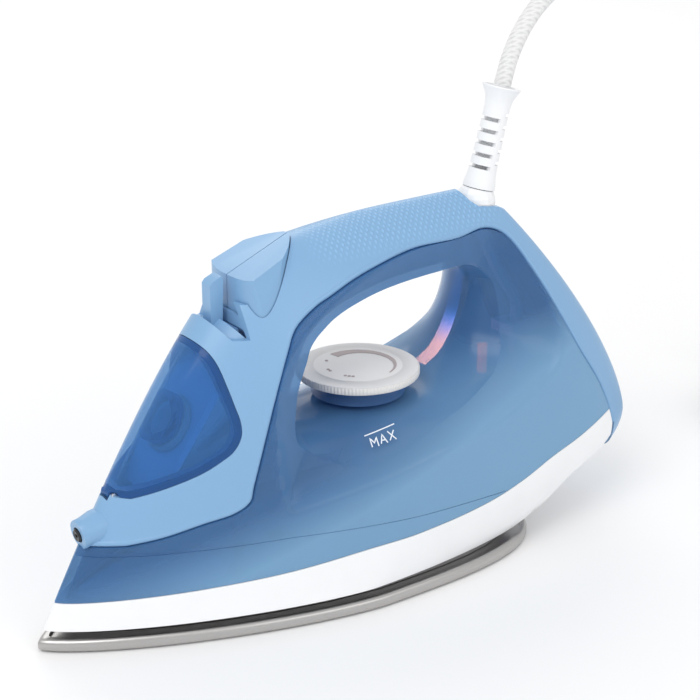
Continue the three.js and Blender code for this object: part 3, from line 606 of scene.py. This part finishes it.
def metal(name, colour, roughness=0.3, streak=(30, 900, 900)):
    """Brushed or cast metal with fine streaks along one way."""
    material, tree = new_material(name)
    spot = add_node(tree, "ShaderNodeMapping", {"Vector": place_texture(tree), "Scale": streak})
    lines = add_node(tree, "ShaderNodeTexNoise", {"Vector": spot.outputs[0], "Scale": 3.0,
                                                  "Detail": 4.0}).outputs["Fac"]
    surface = add_node(tree, "ShaderNodeBsdfPrincipled", {
        "Base Color": two_tone(tree, lines, shade(colour, 0.9), shade(colour, 1.08)),
        "Metallic": 1.0, "Roughness": spread(tree, lines, roughness - 0.06, roughness + 0.1),
        "Normal": bump(tree, lines, 0.06, 0.0002)})
    output(tree, surface.outputs[0])
    return material


def glowing(name, colour, strength):
    material, tree = new_material(name)
    tone = two_tone(tree, noise(tree, 200), shade(colour, 0.8), colour)
    surface = add_node(tree, "ShaderNodeBsdfPrincipled", {
        "Base Color": tone, "Emission Color": tone, "Emission Strength": strength,
        "Roughness": 0.3})
    output(tree, surface.outputs[0])
    return material


def lit_strip(name):
    """The light guide: clear blue at the top, and lit by the lamp towards its foot."""
    material, tree = new_material(name)
    height = add_node(tree, "ShaderNodeSeparateXYZ", {"Vector": place_texture(tree)}).outputs["Z"]
    glow = add_node(tree, "ShaderNodeMapRange", {"Value": height, "From Min": 0.080, "From Max": 0.099,
                                                 "To Min": 1.0, "To Max": 0.0},
                    interpolation_type="SMOOTHSTEP").outputs["Result"]
    tone = two_tone(tree, glow, (0.03, 0.26, 0.62), (1.0, 0.24, 0.12))
    power = spread(tree, glow, 0.9, 14.0)
    surface = add_node(tree, "ShaderNodeBsdfPrincipled", {
        "Base Color": tone, "Emission Color": tone, "Emission Strength": power, "Roughness": 0.3})
    output(tree, surface.outputs[0])
    return material


def grip_plastic(name, colour):
    """The shell's satin plastic, with rows of small raised dots on the top of the handle; each dot also
    gets a painted highlight, a lighter tone.
    """
    material, tree = new_material(name)
    spot = place_texture(tree)
    parts = add_node(tree, "ShaderNodeSeparateXYZ", {"Vector": spot})

    def band(socket, low, high, soft):
        rise = add_node(tree, "ShaderNodeMapRange", {
            "Value": socket, "From Min": low, "From Max": low + soft}).outputs["Result"]
        fall = add_node(tree, "ShaderNodeMapRange", {
            "Value": socket, "From Min": high - soft, "From Max": high, "To Min": 1.0,
            "To Max": 0.0}).outputs["Result"]
        return add_node(tree, "ShaderNodeMath", {0: rise, 1: fall}, operation="MULTIPLY").outputs[0]

    on_top = band(parts.outputs["Z"], 0.146, 0.2, 0.006)
    along = band(parts.outputs["X"], -0.022, 0.088, 0.012)
    mask = add_node(tree, "ShaderNodeMath", {0: on_top, 1: along}, operation="MULTIPLY").outputs[0]
    flat = add_node(tree, "ShaderNodeCombineXYZ", {"X": parts.outputs["X"], "Y": parts.outputs["Y"]})
    skewed = add_node(tree, "ShaderNodeMapping", {"Vector": flat.outputs[0],
                                                  "Rotation": (0, 0, math.radians(45))})
    cells = add_node(tree, "ShaderNodeTexVoronoi", {"Vector": skewed.outputs[0], "Scale": 480.0,
                                                    "Randomness": 0.0}, voronoi_dimensions="2D")
    dots = add_node(tree, "ShaderNodeMapRange", {"Value": cells.outputs["Distance"], "From Min": 0.18,
                                                 "From Max": 0.38, "To Min": 1.0, "To Max": 0.0})
    raised = add_node(tree, "ShaderNodeMath", {0: dots.outputs[0], 1: mask},
                      operation="MULTIPLY").outputs[0]
    grain = bump(tree, noise(tree, 2400, 2), 0.05, 0.0002)
    # The dot mask raises the dots and also lightens their colour: the lighter tone is a painted highlight
    # on each dot.
    surface = add_node(tree, "ShaderNodeBsdfPrincipled", {
        "Base Color": two_tone(tree, raised, colour, shade(colour, 1.22)),
        "Roughness": spread(tree, noise(tree, 120), 0.3, 0.38),
        "Normal": bump(tree, raised, 0.6, 0.0004, grain)})
    output(tree, surface.outputs[0])
    return material


def braided(name, colour):
    """Braided textile sleeve: two sets of slanting strands round the cord, with painted shade in the
    grooves between them.
    """
    material, tree = new_material(name)
    spot = place_texture(tree)
    heights = []
    for slant in (1, -1):
        turned_spot = add_node(tree, "ShaderNodeMapping", {
            "Vector": spot, "Rotation": (0.6 * slant, 0.8 * slant, 0.5 * slant)})
        wave = add_node(tree, "ShaderNodeTexWave", {
            "Vector": turned_spot.outputs[0], "Scale": 190.0, "Distortion": 0.6, "Detail": 1.0},
            bands_direction="DIAGONAL")
        heights.append(wave.outputs["Fac"])
    both = add_node(tree, "ShaderNodeMath", {0: heights[0], 1: heights[1]},
                    operation="MAXIMUM").outputs[0]
    # Low strand height darkens the colour: painted shade in the grooves between the strands.
    surface = add_node(tree, "ShaderNodeBsdfPrincipled", {
        "Base Color": two_tone(tree, both, shade(colour, 0.82), colour), "Roughness": 0.8,
        "Sheen Weight": 0.3, "Normal": bump(tree, both, 0.5, 0.0005)})
    output(tree, surface.outputs[0])
    return material


def body_plastic(name):
    """The blue body: milky low down round the tank, clearer and deeper above it."""
    material, tree = new_material(name)
    parts = add_node(tree, "ShaderNodeSeparateXYZ", {"Vector": place_texture(tree)})
    rise = add_node(tree, "ShaderNodeMath", {0: parts.outputs["X"], 1: 0.35},
                    operation="MULTIPLY").outputs[0]
    height = add_node(tree, "ShaderNodeMath", {0: parts.outputs["Z"], 1: rise},
                      operation="SUBTRACT").outputs[0]
    upper = add_node(tree, "ShaderNodeMapRange", {"Value": height, "From Min": 0.050,
                                                  "From Max": 0.075}).outputs["Result"]
    through = add_node(tree, "ShaderNodeBsdfTransparent", {
        "Color": two_tone(tree, upper, (0.58, 0.77, 0.94), (0.46, 0.65, 0.88))})
    surface = add_node(tree, "ShaderNodeBsdfPrincipled", {
        "Base Color": two_tone(tree, upper, (0.23, 0.44, 0.66), (0.115, 0.27, 0.50)),
        "Roughness": spread(tree, noise(tree, 90), 0.12, 0.2),
        "Normal": bump(tree, noise(tree, 700), 0.02, 0.0002)})
    facing = add_node(tree, "ShaderNodeLayerWeight", {"Blend": 0.35}).outputs["Facing"]
    face_on = spread(tree, upper, 0.66, 0.34)
    amount = add_node(tree, "ShaderNodeMapRange", {"Value": facing, "To Min": face_on, "To Max": 1.0})
    mix = add_node(tree, "ShaderNodeMixShader", {0: amount.outputs["Result"], 1: through.outputs[0],
                                                2: surface.outputs[0]})
    output(tree, mix.outputs[0])
    return material


SHELL_BLUE = (0.215, 0.40, 0.63)
WHITE = (0.86, 0.87, 0.885)

shell_blue = grip_plastic("shell_blue", SHELL_BLUE)
button_blue = moulded("button_blue", SHELL_BLUE, 0.3)
white_plastic = moulded("white_plastic", WHITE, 0.32)
black_plastic = moulded("black_plastic", (0.012, 0.013, 0.016), 0.3)
tank_blue = body_plastic("tank_blue")
liner_blue = clear_plastic("liner_blue", (0.3, 0.5, 0.8), (0.10, 0.22, 0.47), 0.55)
door_blue = clear_plastic("door_blue", (0.56, 0.74, 0.93), (0.10, 0.29, 0.60), 0.24, 0.06)
door_edge_blue = clear_plastic("door_edge_blue", (0.16, 0.36, 0.72), (0.04, 0.16, 0.43), 0.45, 0.06)
tray_blue = clear_plastic("tray_blue", (0.6, 0.8, 0.96), (0.40, 0.60, 0.85), 0.85)
dial_white = moulded("dial_white", (0.72, 0.71, 0.70), 0.35)
sole_metal = metal("sole_metal", (0.50, 0.49, 0.48), 0.3)
cast_metal = metal("cast_metal", (0.45, 0.45, 0.46), 0.55, (300, 300, 300))
bright_metal = metal("bright_metal", (0.75, 0.75, 0.76), 0.22)
seal_grey = moulded("seal_grey", (0.36, 0.40, 0.44), 0.6)
lamp_red = glowing("lamp_red", (1.0, 0.16, 0.05), 1.5)
strip_glow = lit_strip("strip_glow")
ceramic = moulded("ceramic", (0.72, 0.69, 0.62), 0.6)
cord_fabric = braided("cord_fabric", (0.80, 0.80, 0.80))
tie_black = moulded("tie_black", (0.02, 0.021, 0.024), 0.5)
white_print = moulded("white_print", (0.86, 0.9, 0.95), 0.4)
dial_print = moulded("dial_print", (0.34, 0.27, 0.27), 0.4)


# ---------- cord, its guide and plug ----------
def make_cord():
    line = cord_path()
    cord = tube("mains_cord", line, CORD_DIAMETER / 2)
    finish_piece(cord, "mains_cord", "iron_body", cord_fabric, sharp=60)
    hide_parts("cord", "cord_coil", "cord_end")
    return cord, line


cord, cord_line = make_cord()


# ---------- soleplate, skirt ----------
def sole_plan(inset, steps=60):
    widest = 140.2 / SOLE_LENGTH
    line = []
    for i in range(2 * steps + 1):
        if i <= steps:
            u = widest * (i / steps) ** 1.9
            half = max(0.0, 1 - (1 - u / widest) ** 1.42) ** 0.77
        else:
            u = widest + (1 - widest) * (1 - (2 - i / steps) ** 2)
            half = max(0.0, 1 - ((u - widest) / (1 - widest)) ** 3.32) ** (1 / 3.32)
        line.append((2 * inset + u * (SOLE_LENGTH - 3 * inset), (SOLE_HALF_WIDTH - inset) * half))
    return line


def make_soleplate():
    # Height and inset of the edge: rounded foot, upright band, then a lip that steps in.
    edge = [(0, 1.5), (0.3, 0.7), (0.9, 0.15), (1.6, 0), (3.6, 0), (4.6, 0.3), (5.2, 0.8), (5.5, 1.5),
            (5.5, 2.6), (4.0, 2.9)]
    plate = stack_rings([(z, sole_plan(inset)) for z, inset in edge], "sole")
    for side in (-1, 1):
        for i in range(9):
            x, y = 34 + 15 * i, side * (6 + 24 * math.sin(math.pi / 2 * i / 8))
            cut(plate, rod((x, y, -1), (x, y, 6), 1.5, 20))
    finish_piece(plate, "sole_plate", "iron_body", sole_metal, ["soleplate"])


def make_skirt():
    foot = [(-5, SKIRT_BOTTOM), (224, SKIRT_BOTTOM)]
    region = [*SKIRT_TOP, (284, 38), *reversed(SKIRT_LOWER_BACK), foot[0]]
    ring = keep(outer_form(), side_profile(region), below_shell(-GAP))
    cut(ring, outer_form(WALL))
    slope = SKIRT_LOWER_BACK[3:]
    raised = [p + Vector((0, 2.4)) for p in slope]
    floor = keep(side_profile([*slope, *reversed(raised)]), outer_form(), below_shell(-GAP))
    join(ring, floor)
    finish_piece(ring, "lower_skirt", "iron_body", white_plastic, ["skirt"], bevel=0.5)


# ---------- blue body ----------
def blue_walls(*regions):
    """The blue body's thin wall, open at the hand opening, inside some side view regions."""
    walls = keep(blue_form(), below_shell(-GAP), *regions)
    cut(walls, hand_opening())
    return cut(walls, cut(blue_form(WALL), hand_opening(WALL)))


def make_blue_body():
    skirt_line = [(p.x, p.y + GAP) for p in SKIRT_TOP]
    lower = side_profile([*skirt_line, (284, 60), (TANK_END, 33.4), (101, 39), (-5, 39)])
    base = keep(blue_form(), lower, below_shell(-GAP))
    keep(base, slab(-10, TANK_END, -80, 80, 0, 100))
    cut(base, blue_form(WALL))
    finish_piece(base, "tank_lower_half", "iron_body", tank_blue, ["tank_base"], bevel=0.3)
    upper = [(-5, 39.2), (101, 39.2), (TANK_END, 33.7)]
    upper += [(x, z) for x, z in skirt_line if x > TANK_END]
    upper += [(310, 60), (310, 160), (60, 160), (60, 101), (-5, 60)]
    walls = blue_walls(side_profile(upper))
    finish_piece(walls, "tank_upper_half", "iron_body", tank_blue,
                 ["water_tank", "column_liner", "rear_housing", "handle_liner"], bevel=0.4)


# ---------- light shell ----------
LEVER_CENTRE = Vector((97.6, 0, 106.7))
LEVER_AXIS = Vector((0.8, 0, 0.6))
DRUM_RADIUS = 22
FRONT_WALL = 94.4
HINGE = (36.4, 62.8)
DOOR_OUTLINE = [(29.8, 67.4), HINGE, (41, 62.6), (48, 64.8), (56, 67.6), (67, 72), (74, 75.9),
                (80, 80.2), (83.5, 86), (84, 91.5), (82.9, 98), (81.6, 106), (80, 115), (78, 119.6),
                (74, 124)]
BALL = Vector((228, 0, 154))
GUIDE_AXIS = Vector((0.27, 0, 1)).normalized()
NOZZLE_HEIGHT = 47.5
BUTTON_FRONT, BUTTON_WIDEST, BUTTON_TIP, BUTTON_HALF = 96, 104, 127, 19


def door_outline(grow):
    inner_line = smooth_line(DOOR_OUTLINE[2:], 5)
    outline = [DOOR_OUTLINE[0], DOOR_OUTLINE[1], *inner_line, (20, 124), (20, 78)]
    return side_profile(grow_outline(outline, grow))


def along_hinge(radius, half_length):
    return rod((HINGE[0], -half_length, HINGE[1]), (HINGE[0], half_length, HINGE[1]), radius)


def button_plan(grow):
    """Plan of the pair of buttons: blunt and rounded at the front, pointed at the rear."""
    half = BUTTON_HALF + grow
    front = BUTTON_WIDEST - BUTTON_FRONT + grow
    rear = BUTTON_TIP - BUTTON_WIDEST + grow
    near = []
    for i in range(25):
        t = math.cos(math.pi / 2 * i / 24)
        near.append((BUTTON_WIDEST - front * t, -half * (1 - t ** 2.6) ** (1 / 2.6)))
    for i in range(1, 25):
        t = i / 24
        near.append((BUTTON_WIDEST + rear * t, -half * (1 - t ** 1.6) ** 0.8))
    return near + [(x, -y) for x, y in reversed(near[1:-1])]


LIP = 1.5


def surface_half(x, z):
    """Half-width of the outer form at a place in the side view."""
    front, back = ridge_station(z), heel_station(z)
    u = min(1.0, max(0.0, (x - front) / (back - front)))
    return body_half_width(z) * plan_shape(u, (z - SKIRT_BOTTOM) / 140)


def shell_lip():
    """The rolled edge along the shell's border, from the heel round the nose and back."""
    outline = [Vector((-20, 42)), *SHELL_BORDER, Vector((284, -20)), Vector((-20, -20))]
    border = [p for p in grow_outline(outline, LIP)[1:-2] if p.x < 283 or p.y > 38]
    nose = border[0]
    lead = [Vector((x, nose.y - 0.03 * (nose.x - x))) for x in (24.6, 26, 28, 31, 34)]
    near = [(p.x, -max(0.0, surface_half(p.x, p.y) - LIP), p.y) for p in [*lead, *border]]
    tip = (ridge_station(nose.y) + 1.2, 0, lead[0].y)
    path = [*reversed(near), tip, *((x, -y, z) for x, y, z in near)]
    return tidy_mesh(tube("tool", path, LIP, 16))


def make_shell():
    cover = cut(outer_form(), outer_form(WALL), below_shell(LIP))
    join(cover, shell_lip())
    join(cover, turned([(0, 0), (6.1, 0), (6.4, 0.5), (6.4, 3), (7.4, 8), (7.4, 12), (0, 12)],
                       (21.2, 0, NOZZLE_HEIGHT), (1, 0, 0.16)))
    cut(cover, side_profile([(74.8, 140.4), (87.9, 122.9), (FRONT_WALL, 122.9), (FRONT_WALL, 136),
                             (97, 136), (97, 175), (74.8, 175)]))
    join(cover, keep(slab(FRONT_WALL, FRONT_WALL + 1.2, -40, 40, 114, 131), outer_form(0.3)))
    cut(cover,
        turned([(0, -1), (DRUM_RADIUS + 0.5, -1), (DRUM_RADIUS + 0.5, 9), (0, 9)],
               LEVER_CENTRE, LEVER_AXIS),
        door_outline(GAP),
        along_hinge(3.4, 3.2),
        plan_prism(button_plan(0.4), 121, 175),
        rod((0, 0, NOZZLE_HEIGHT - 3.2), (40, 0, NOZZLE_HEIGHT + 2.9), 3.4),
        turned([(0, -9.5), (4.75, -8.2), (8.2, -4.75), (9.5, 0), (8.2, 4.75), (4.75, 8.2), (0, 9.5)],
               BALL, GUIDE_AXIS),
        side_profile([(219, 157), (208, 175), (262, 178), (268, 156), (240, 150), (228, 150)], -9.2, 9.2),
        slab(250, 310, -18.3, 18.3, 65.7, 116.3))
    finish_piece(cover, "outer_shell", "iron_body", shell_blue, ["handle_shell"], bevel=0.5)
    plate = keep(cut(outer_form(), outer_form(WALL)), slab(250, 310, -18, 18, 66, 116))
    cut(plate, rod((240, 0, 76), (320, 0, 76), 2.1))
    finish_piece(plate, "heel_cover", "iron_body", button_blue, ["heel_plate"], bevel=0.6)


def make_door():
    full = cut(outer_form(), outer_form(WALL))
    keep(full, door_outline(0))
    rim = full.copy()
    rim.data = full.data.copy()
    bpy.context.collection.objects.link(rim)
    cut(rim, door_outline(-2.6))
    keep(full, door_outline(-2.65))
    join(rim, along_hinge(2.1, 2.9))
    cut(rim, along_hinge(1.4, 12))
    ring = turned([(8.6, 0), (11.4, 0), (11.4, 5), (8.6, 5)], on_tray(9, 6.4), TRAY_OUT)
    ring = keep(ring, outer_form(WALL), door_outline(-3))
    finish_piece(ring, "door_ring", "door", door_edge_blue, [])
    finish_piece(full, "door_window", "door", door_blue, ["fill_door"])
    finish_piece(rim, "door_frame", "door", door_edge_blue, [], bevel=0.4)


# ---------- filling tray ----------
def make_tray():
    def corner(along, out):
        x, _, z = on_tray(along, out)
        return (x, z)

    plate = keep(outer_form(WALL + GAP),
                 side_profile([corner(-22, 0), corner(43, 0), corner(43, 2), corner(-22, 2)]))
    join(plate, rod(on_tray(8, -2.5), on_tray(8, 5), 9.6))
    cut(plate, rod(on_tray(8, -8), on_tray(8, 9), 8.1))
    finish_piece(plate, "filling_tray", "iron_body", tray_blue, ["filler_tray"], bevel=0.4)
    profile = [(9.9, 2.4), (12.4, 2.4), (12.8, 3.4), (12.4, 4.8), (11.2, 5.4), (9.9, 4.9)]
    seal = turned(profile, on_tray(8, 0), TRAY_OUT)
    finish_piece(seal, "filling_seal", "iron_body", seal_grey, ["filler_seal"])


def make_nozzle():
    profile = [(0.9, 0), (2.4, -0.3), (3, 0.4), (3, 17), (1.6, 17), (1.6, 22), (0.9, 22)]
    nozzle = turned(profile, (20.5, 0, NOZZLE_HEIGHT - 0.2), (1, 0, 0.154), 40)
    finish_piece(nozzle, "spray_tip", "iron_body", black_plastic, ["spray_nozzle"])


# ---------- buttons and steam lever ----------
PUMP_STATION = 110.5


def below_button_top(drop):
    return side_profile([(80, 100), (140, 100), (140, 164 - drop), (126, 158 - drop),
                         (96.5, 145.9 - drop), (80, 139 - drop)])


def button_roof():
    """A tapering block along the iron that leans the buttons' sides in."""
    ends = [(-22, 120), (22, 120), (13.5, 160), (-13.5, 160)]
    points = [(x, y, z) for x in (50, 200) for y, z in ends]
    faces = [(0, 1, 2, 3), (7, 6, 5, 4)] + [(i, i + 4, (i + 1) % 4 + 4, (i + 1) % 4) for i in range(4)]
    return tidy_mesh(new_piece("tool", points, faces))


def make_buttons():
    for side, name, node, body in ((-1, "spray_key_cap", "spray_button", "spray_key"),
                                   (1, "steam_key_cap", "steam_button", "steam_key")):
        half = slab(60, 160, -40, -0.2, 100, 180) if side < 0 else slab(60, 160, 0.2, 40, 100, 180)
        block = keep(plan_prism(button_plan(0), 129, 158), below_button_top(0), button_roof(), half)
        hollow = keep(plan_prism(button_plan(-2), 120, 158), outer_form(WALL), below_button_top(2.4))
        cut(block, hollow)
        y = side * 7.5
        join(block, rod((PUMP_STATION, y, 122), (PUMP_STATION, y, 149), 2))
        finish_piece(block, name, body, button_blue, [node], bevel=1.1)


def in_lever_plane(along, up):
    return (LEVER_CENTRE.x + LEVER_AXIS.x * along - LEVER_AXIS.z * up,
            LEVER_CENTRE.z + LEVER_AXIS.z * along + LEVER_AXIS.x * up)


def make_lever():
    above = side_profile([in_lever_plane(-30, 6), in_lever_plane(30, 6), in_lever_plane(30, 40),
                          in_lever_plane(-30, 40)])
    arc = [(DRUM_RADIUS - 4.5, 2.6), (DRUM_RADIUS, 2.6), (DRUM_RADIUS, 7), (DRUM_RADIUS - 4.5, 7)]
    drum = keep(turned(arc, LEVER_CENTRE, LEVER_AXIS, 96), above)
    join(drum, side_profile([(85.8, 127.1), (91.4, 119.7), (92.4, 145.6), (91.4, 146.6), (87, 144.8),
                             (85.8, 143.4)], -3.2, 3.2))
    finish_piece(drum, "steam_slider", "lever", button_blue, ["steam_lever"], bevel=0.7)


# ---------- dial ----------
def make_dial():
    teeth = 108
    sides = teeth * 8

    def knurl(radius, distance, step):
        if radius < DIAL_RADIUS - 0.2 or not 0.5 < distance < 3.5:
            return radius
        return radius - 0.3 * (1 - math.cos(2 * math.pi * step * teeth / sides)) / 2

    top = DIAL_TOP - DIAL_BASE
    edge = DIAL_RADIUS
    profile = [(0, 0), (edge - 1.9, 0), (edge - 0.5, 0.4), (edge, 0.9), (edge, 3.4), (edge - 0.3, 3.7),
               (edge - 1.0, 3.8), (20.4, 3.85), (20.1, 4.1), (19.5, top), (6, top + 0.1), (0, top + 0.12)]
    dial = turned(profile, (DIAL_STATION, 0, DIAL_BASE), (0, 0, 1), sides, wobble=knurl)
    finish_piece(dial, "heat_dial", "dial", dial_white, ["temperature_dial"], sharp=50)
    cone = turned([(4.4, 0), (21, 0), (19.4, 1.4), (17.9, 3.2), (17.2, 5.2), (17, 6.6), (4.4, 6.6)],
                  (DIAL_STATION, 0, DECK_HEIGHT + GAP), (0, 0, 1), 96)
    finish_piece(cone, "dial_stand", "iron_body", liner_blue, ["dial_pedestal"], sharp=60)


# ---------- bend guide ----------
GUIDE_START = 5.9
GUIDE_LENGTH = 46


def make_guide():
    end = GUIDE_START + GUIDE_LENGTH
    profile = [(4.3, GUIDE_START), (7.4, GUIDE_START), (7.3, GUIDE_START + 2), (6.7, GUIDE_START + 5),
               (6.3, GUIDE_START + 9), (5.8, end - 14), (5.9, end - 9), (6.5, end - 5),
               (8.2, end - 1.6), (8.8, end - 0.5), (8.7, end), (7.6, end), (5.6, end - 2.4), (4.3, end - 5)]
    guide = turned(profile, BALL, GUIDE_AXIS)
    across = Vector((1, 0, -0.27)).normalized()
    for i in range(5):
        for side in (-1, 1):
            middle = GUIDE_START + 9.5 + i * 5.4 + (2.7 if side > 0 else 0)
            centre = BALL + GUIDE_AXIS * middle
            corners = [centre + across * (side * reach) + GUIDE_AXIS * up
                       for reach, up in ((1.2, -0.9), (12, -0.9), (12, 0.9), (1.2, 0.9))]
            cut(guide, side_profile([(c.x, c.z) for c in corners]))
    finish_piece(guide, "bend_relief", "bend_guide", white_plastic, ["cord_guide"],
                 bevel=0.25)


def make_light_strip():
    """A curved light guide in the rear column that carries the lamp's glow."""
    line = smooth_line([(211, 74), (219, 79), (225, 87), (229, 96), (231.5, 106), (232.5, 116)], 6)
    back = [p + Vector((1.5, -1.2)) for p in line]
    strip = side_profile([*line, *reversed(back)], 15, 21)
    finish_piece(strip, "light_strip", "iron_body", strip_glow, ["light_guide"])


# ---------- printed and moulded marks ----------
def near_side(x, z, form_half):
    """A place on the near side of a form at a place in the side view."""
    return (x, -form_half(x, z), z)


def blue_half(x, z):
    return drawn_in(x, z, surface_half(x, z))


def print_line(name, line, width, body, material):
    """A printed line, standing half its width proud of the surface that its places lie on."""
    mark = tube(name, line, width / 2, 6)
    return finish_piece(mark, name, body, material, [])


def make_level_mark():
    """The highest water level: a line with the word MAX under it, on the near side."""
    def place(x, z):
        return near_side(x, z, blue_half)

    strokes = [[(141.5, 73.2), (147, 74.0), (156.5, 75.4)]]
    letters = [[[(0, 0), (0, 1), (0.5, 0.4), (1, 1), (1, 0)]],
               [[(0, 0), (0.5, 1), (1, 0)], [(0.2, 0.35), (0.8, 0.35)]],
               [[(0, 0), (1, 1)], [(0, 1), (1, 0)]]]
    for k, letter in enumerate(letters):
        for stroke in letter:
            strokes.append([(143.5 + 4.4 * k + 3.0 * x, 68.6 + 0.6 * k + 3.4 * z) for x, z in stroke])
    for k, stroke in enumerate(strokes):
        dense = []
        for (x0, z0), (x1, z1) in zip(stroke, stroke[1:]):
            dense += [place(x0 + (x1 - x0) * i / 4, z0 + (z1 - z0) * i / 4) for i in range(4)]
        dense.append(place(*stroke[-1]))
        print_line(f"level_mark_{k}", dense, 0.55, "iron_body", white_print)


def make_dial_marks():
    """The dial's print: a broad arc that narrows to one end, and small round dots for the settings."""
    top = DIAL_TOP + 0.17
    points = []
    count = 40
    for i in range(count + 1):
        angle = math.radians(-70 + 170 * i / count)
        points.append((DIAL_STATION + 17.2 * math.cos(angle), 17.2 * math.sin(angle)))
    for i in range(count, -1, -1):
        angle = math.radians(-70 + 170 * i / count)
        inner = 17.2 - 0.6 - 4.4 * i / count
        points.append((DIAL_STATION + inner * math.cos(angle), inner * math.sin(angle)))
    arc = plan_prism(points, top - 0.1, top)
    finish_piece(arc, "dial_arc", "dial", dial_print, [])
    for k in range(3):
        for dot in range(k + 1):
            angle = math.radians(128 + 42 * k + 7 * dot)
            x = DIAL_STATION + 14.5 * math.cos(angle)
            y = 14.5 * math.sin(angle)
            spot = turned([(0, 0), (0.75, 0), (0.75, 0.12), (0, 0.12)], (x, y, top - 0.1), (0, 0, 1), 20)
            finish_piece(spot, f"dial_dot_{k}_{dot}", "dial", dial_print, [])


MATERIAL_OF_NODE = {
    "sole_casting": cast_metal, "steam_chamber_cover": bright_metal, "heating_element": cast_metal,
    "thermostat": bright_metal, "thermal_fuse": ceramic, "heat_shield": bright_metal,
    "door_hinge_pin": bright_metal, "spray_pump": white_plastic, "steam_pump": white_plastic,
    "spray_plunger": black_plastic, "steam_plunger": black_plastic, "spray_spring": bright_metal,
    "steam_spring": bright_metal, "spray_hose": ceramic, "valve_rod": white_plastic,
    "dial_shaft": white_plastic, "indicator_lamp": lamp_red, "terminal_block": ceramic,
    "cord_clamp": white_plastic, "mains_lead": white_plastic, "cord_ball": white_plastic,
    "cord_tie": tie_black, "plug_body": white_plastic, "plug_pin_left": bright_metal,
    "plug_pin_right": bright_metal}


def dress_inner_nodes():
    for node, material in MATERIAL_OF_NODE.items():
        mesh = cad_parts[node].data
        mesh.materials.clear()
        mesh.materials.append(material)


# ---------- stage ----------
def area_light(name, place, aim, size, power, colour=(1, 1, 1)):
    data = bpy.data.lights.new(name, "AREA")
    data.shape = "RECTANGLE"
    data.size, data.size_y = size
    data.energy = power
    data.color = colour
    light = bpy.data.objects.new(name, data)
    bpy.context.collection.objects.link(light)
    light.location = place
    light.rotation_euler = (Vector(aim) - Vector(place)).to_track_quat("-Z", "Y").to_euler()


def make_stage():
    bpy.ops.mesh.primitive_plane_add(size=12, location=(0, 0, -0.0004))
    floor = bpy.context.object
    floor.name = "floor"
    material, tree = new_material("floor")
    surface = add_node(tree, "ShaderNodeBsdfPrincipled", {
        "Base Color": two_tone(tree, noise(tree, 2), (0.90, 0.90, 0.905), (0.92, 0.92, 0.925)),
        "Roughness": 0.7, "Specular IOR Level": 0.2})
    output(tree, surface.outputs[0])
    floor.data.materials.append(material)
    world = bpy.data.worlds.new("studio")
    bpy.context.scene.world = world
    world.use_nodes = True
    world.node_tree.nodes["Background"].inputs[0].default_value = (1, 1, 1, 1)
    world.node_tree.nodes["Background"].inputs[1].default_value = 0.8
    bpy.context.scene.view_settings.view_transform = "Standard"
    area_light("key", (-0.9, -0.5, 1.3), (0, 0, 0.08), (0.9, 0.9), 8)
    area_light("fill", (0.3, -1.4, 0.8), (0, 0, 0.08), (1.2, 0.8), 3)
    area_light("back", (0.7, 1.2, 1.0), (0, 0, 0.1), (1.2, 0.8), 5)


make_soleplate()
make_skirt()
make_blue_body()
make_shell()
make_door()
make_tray()
make_nozzle()
make_buttons()
make_lever()
make_dial()
make_guide()
make_light_strip()
make_level_mark()
make_dial_marks()
dress_inner_nodes()
make_stage()
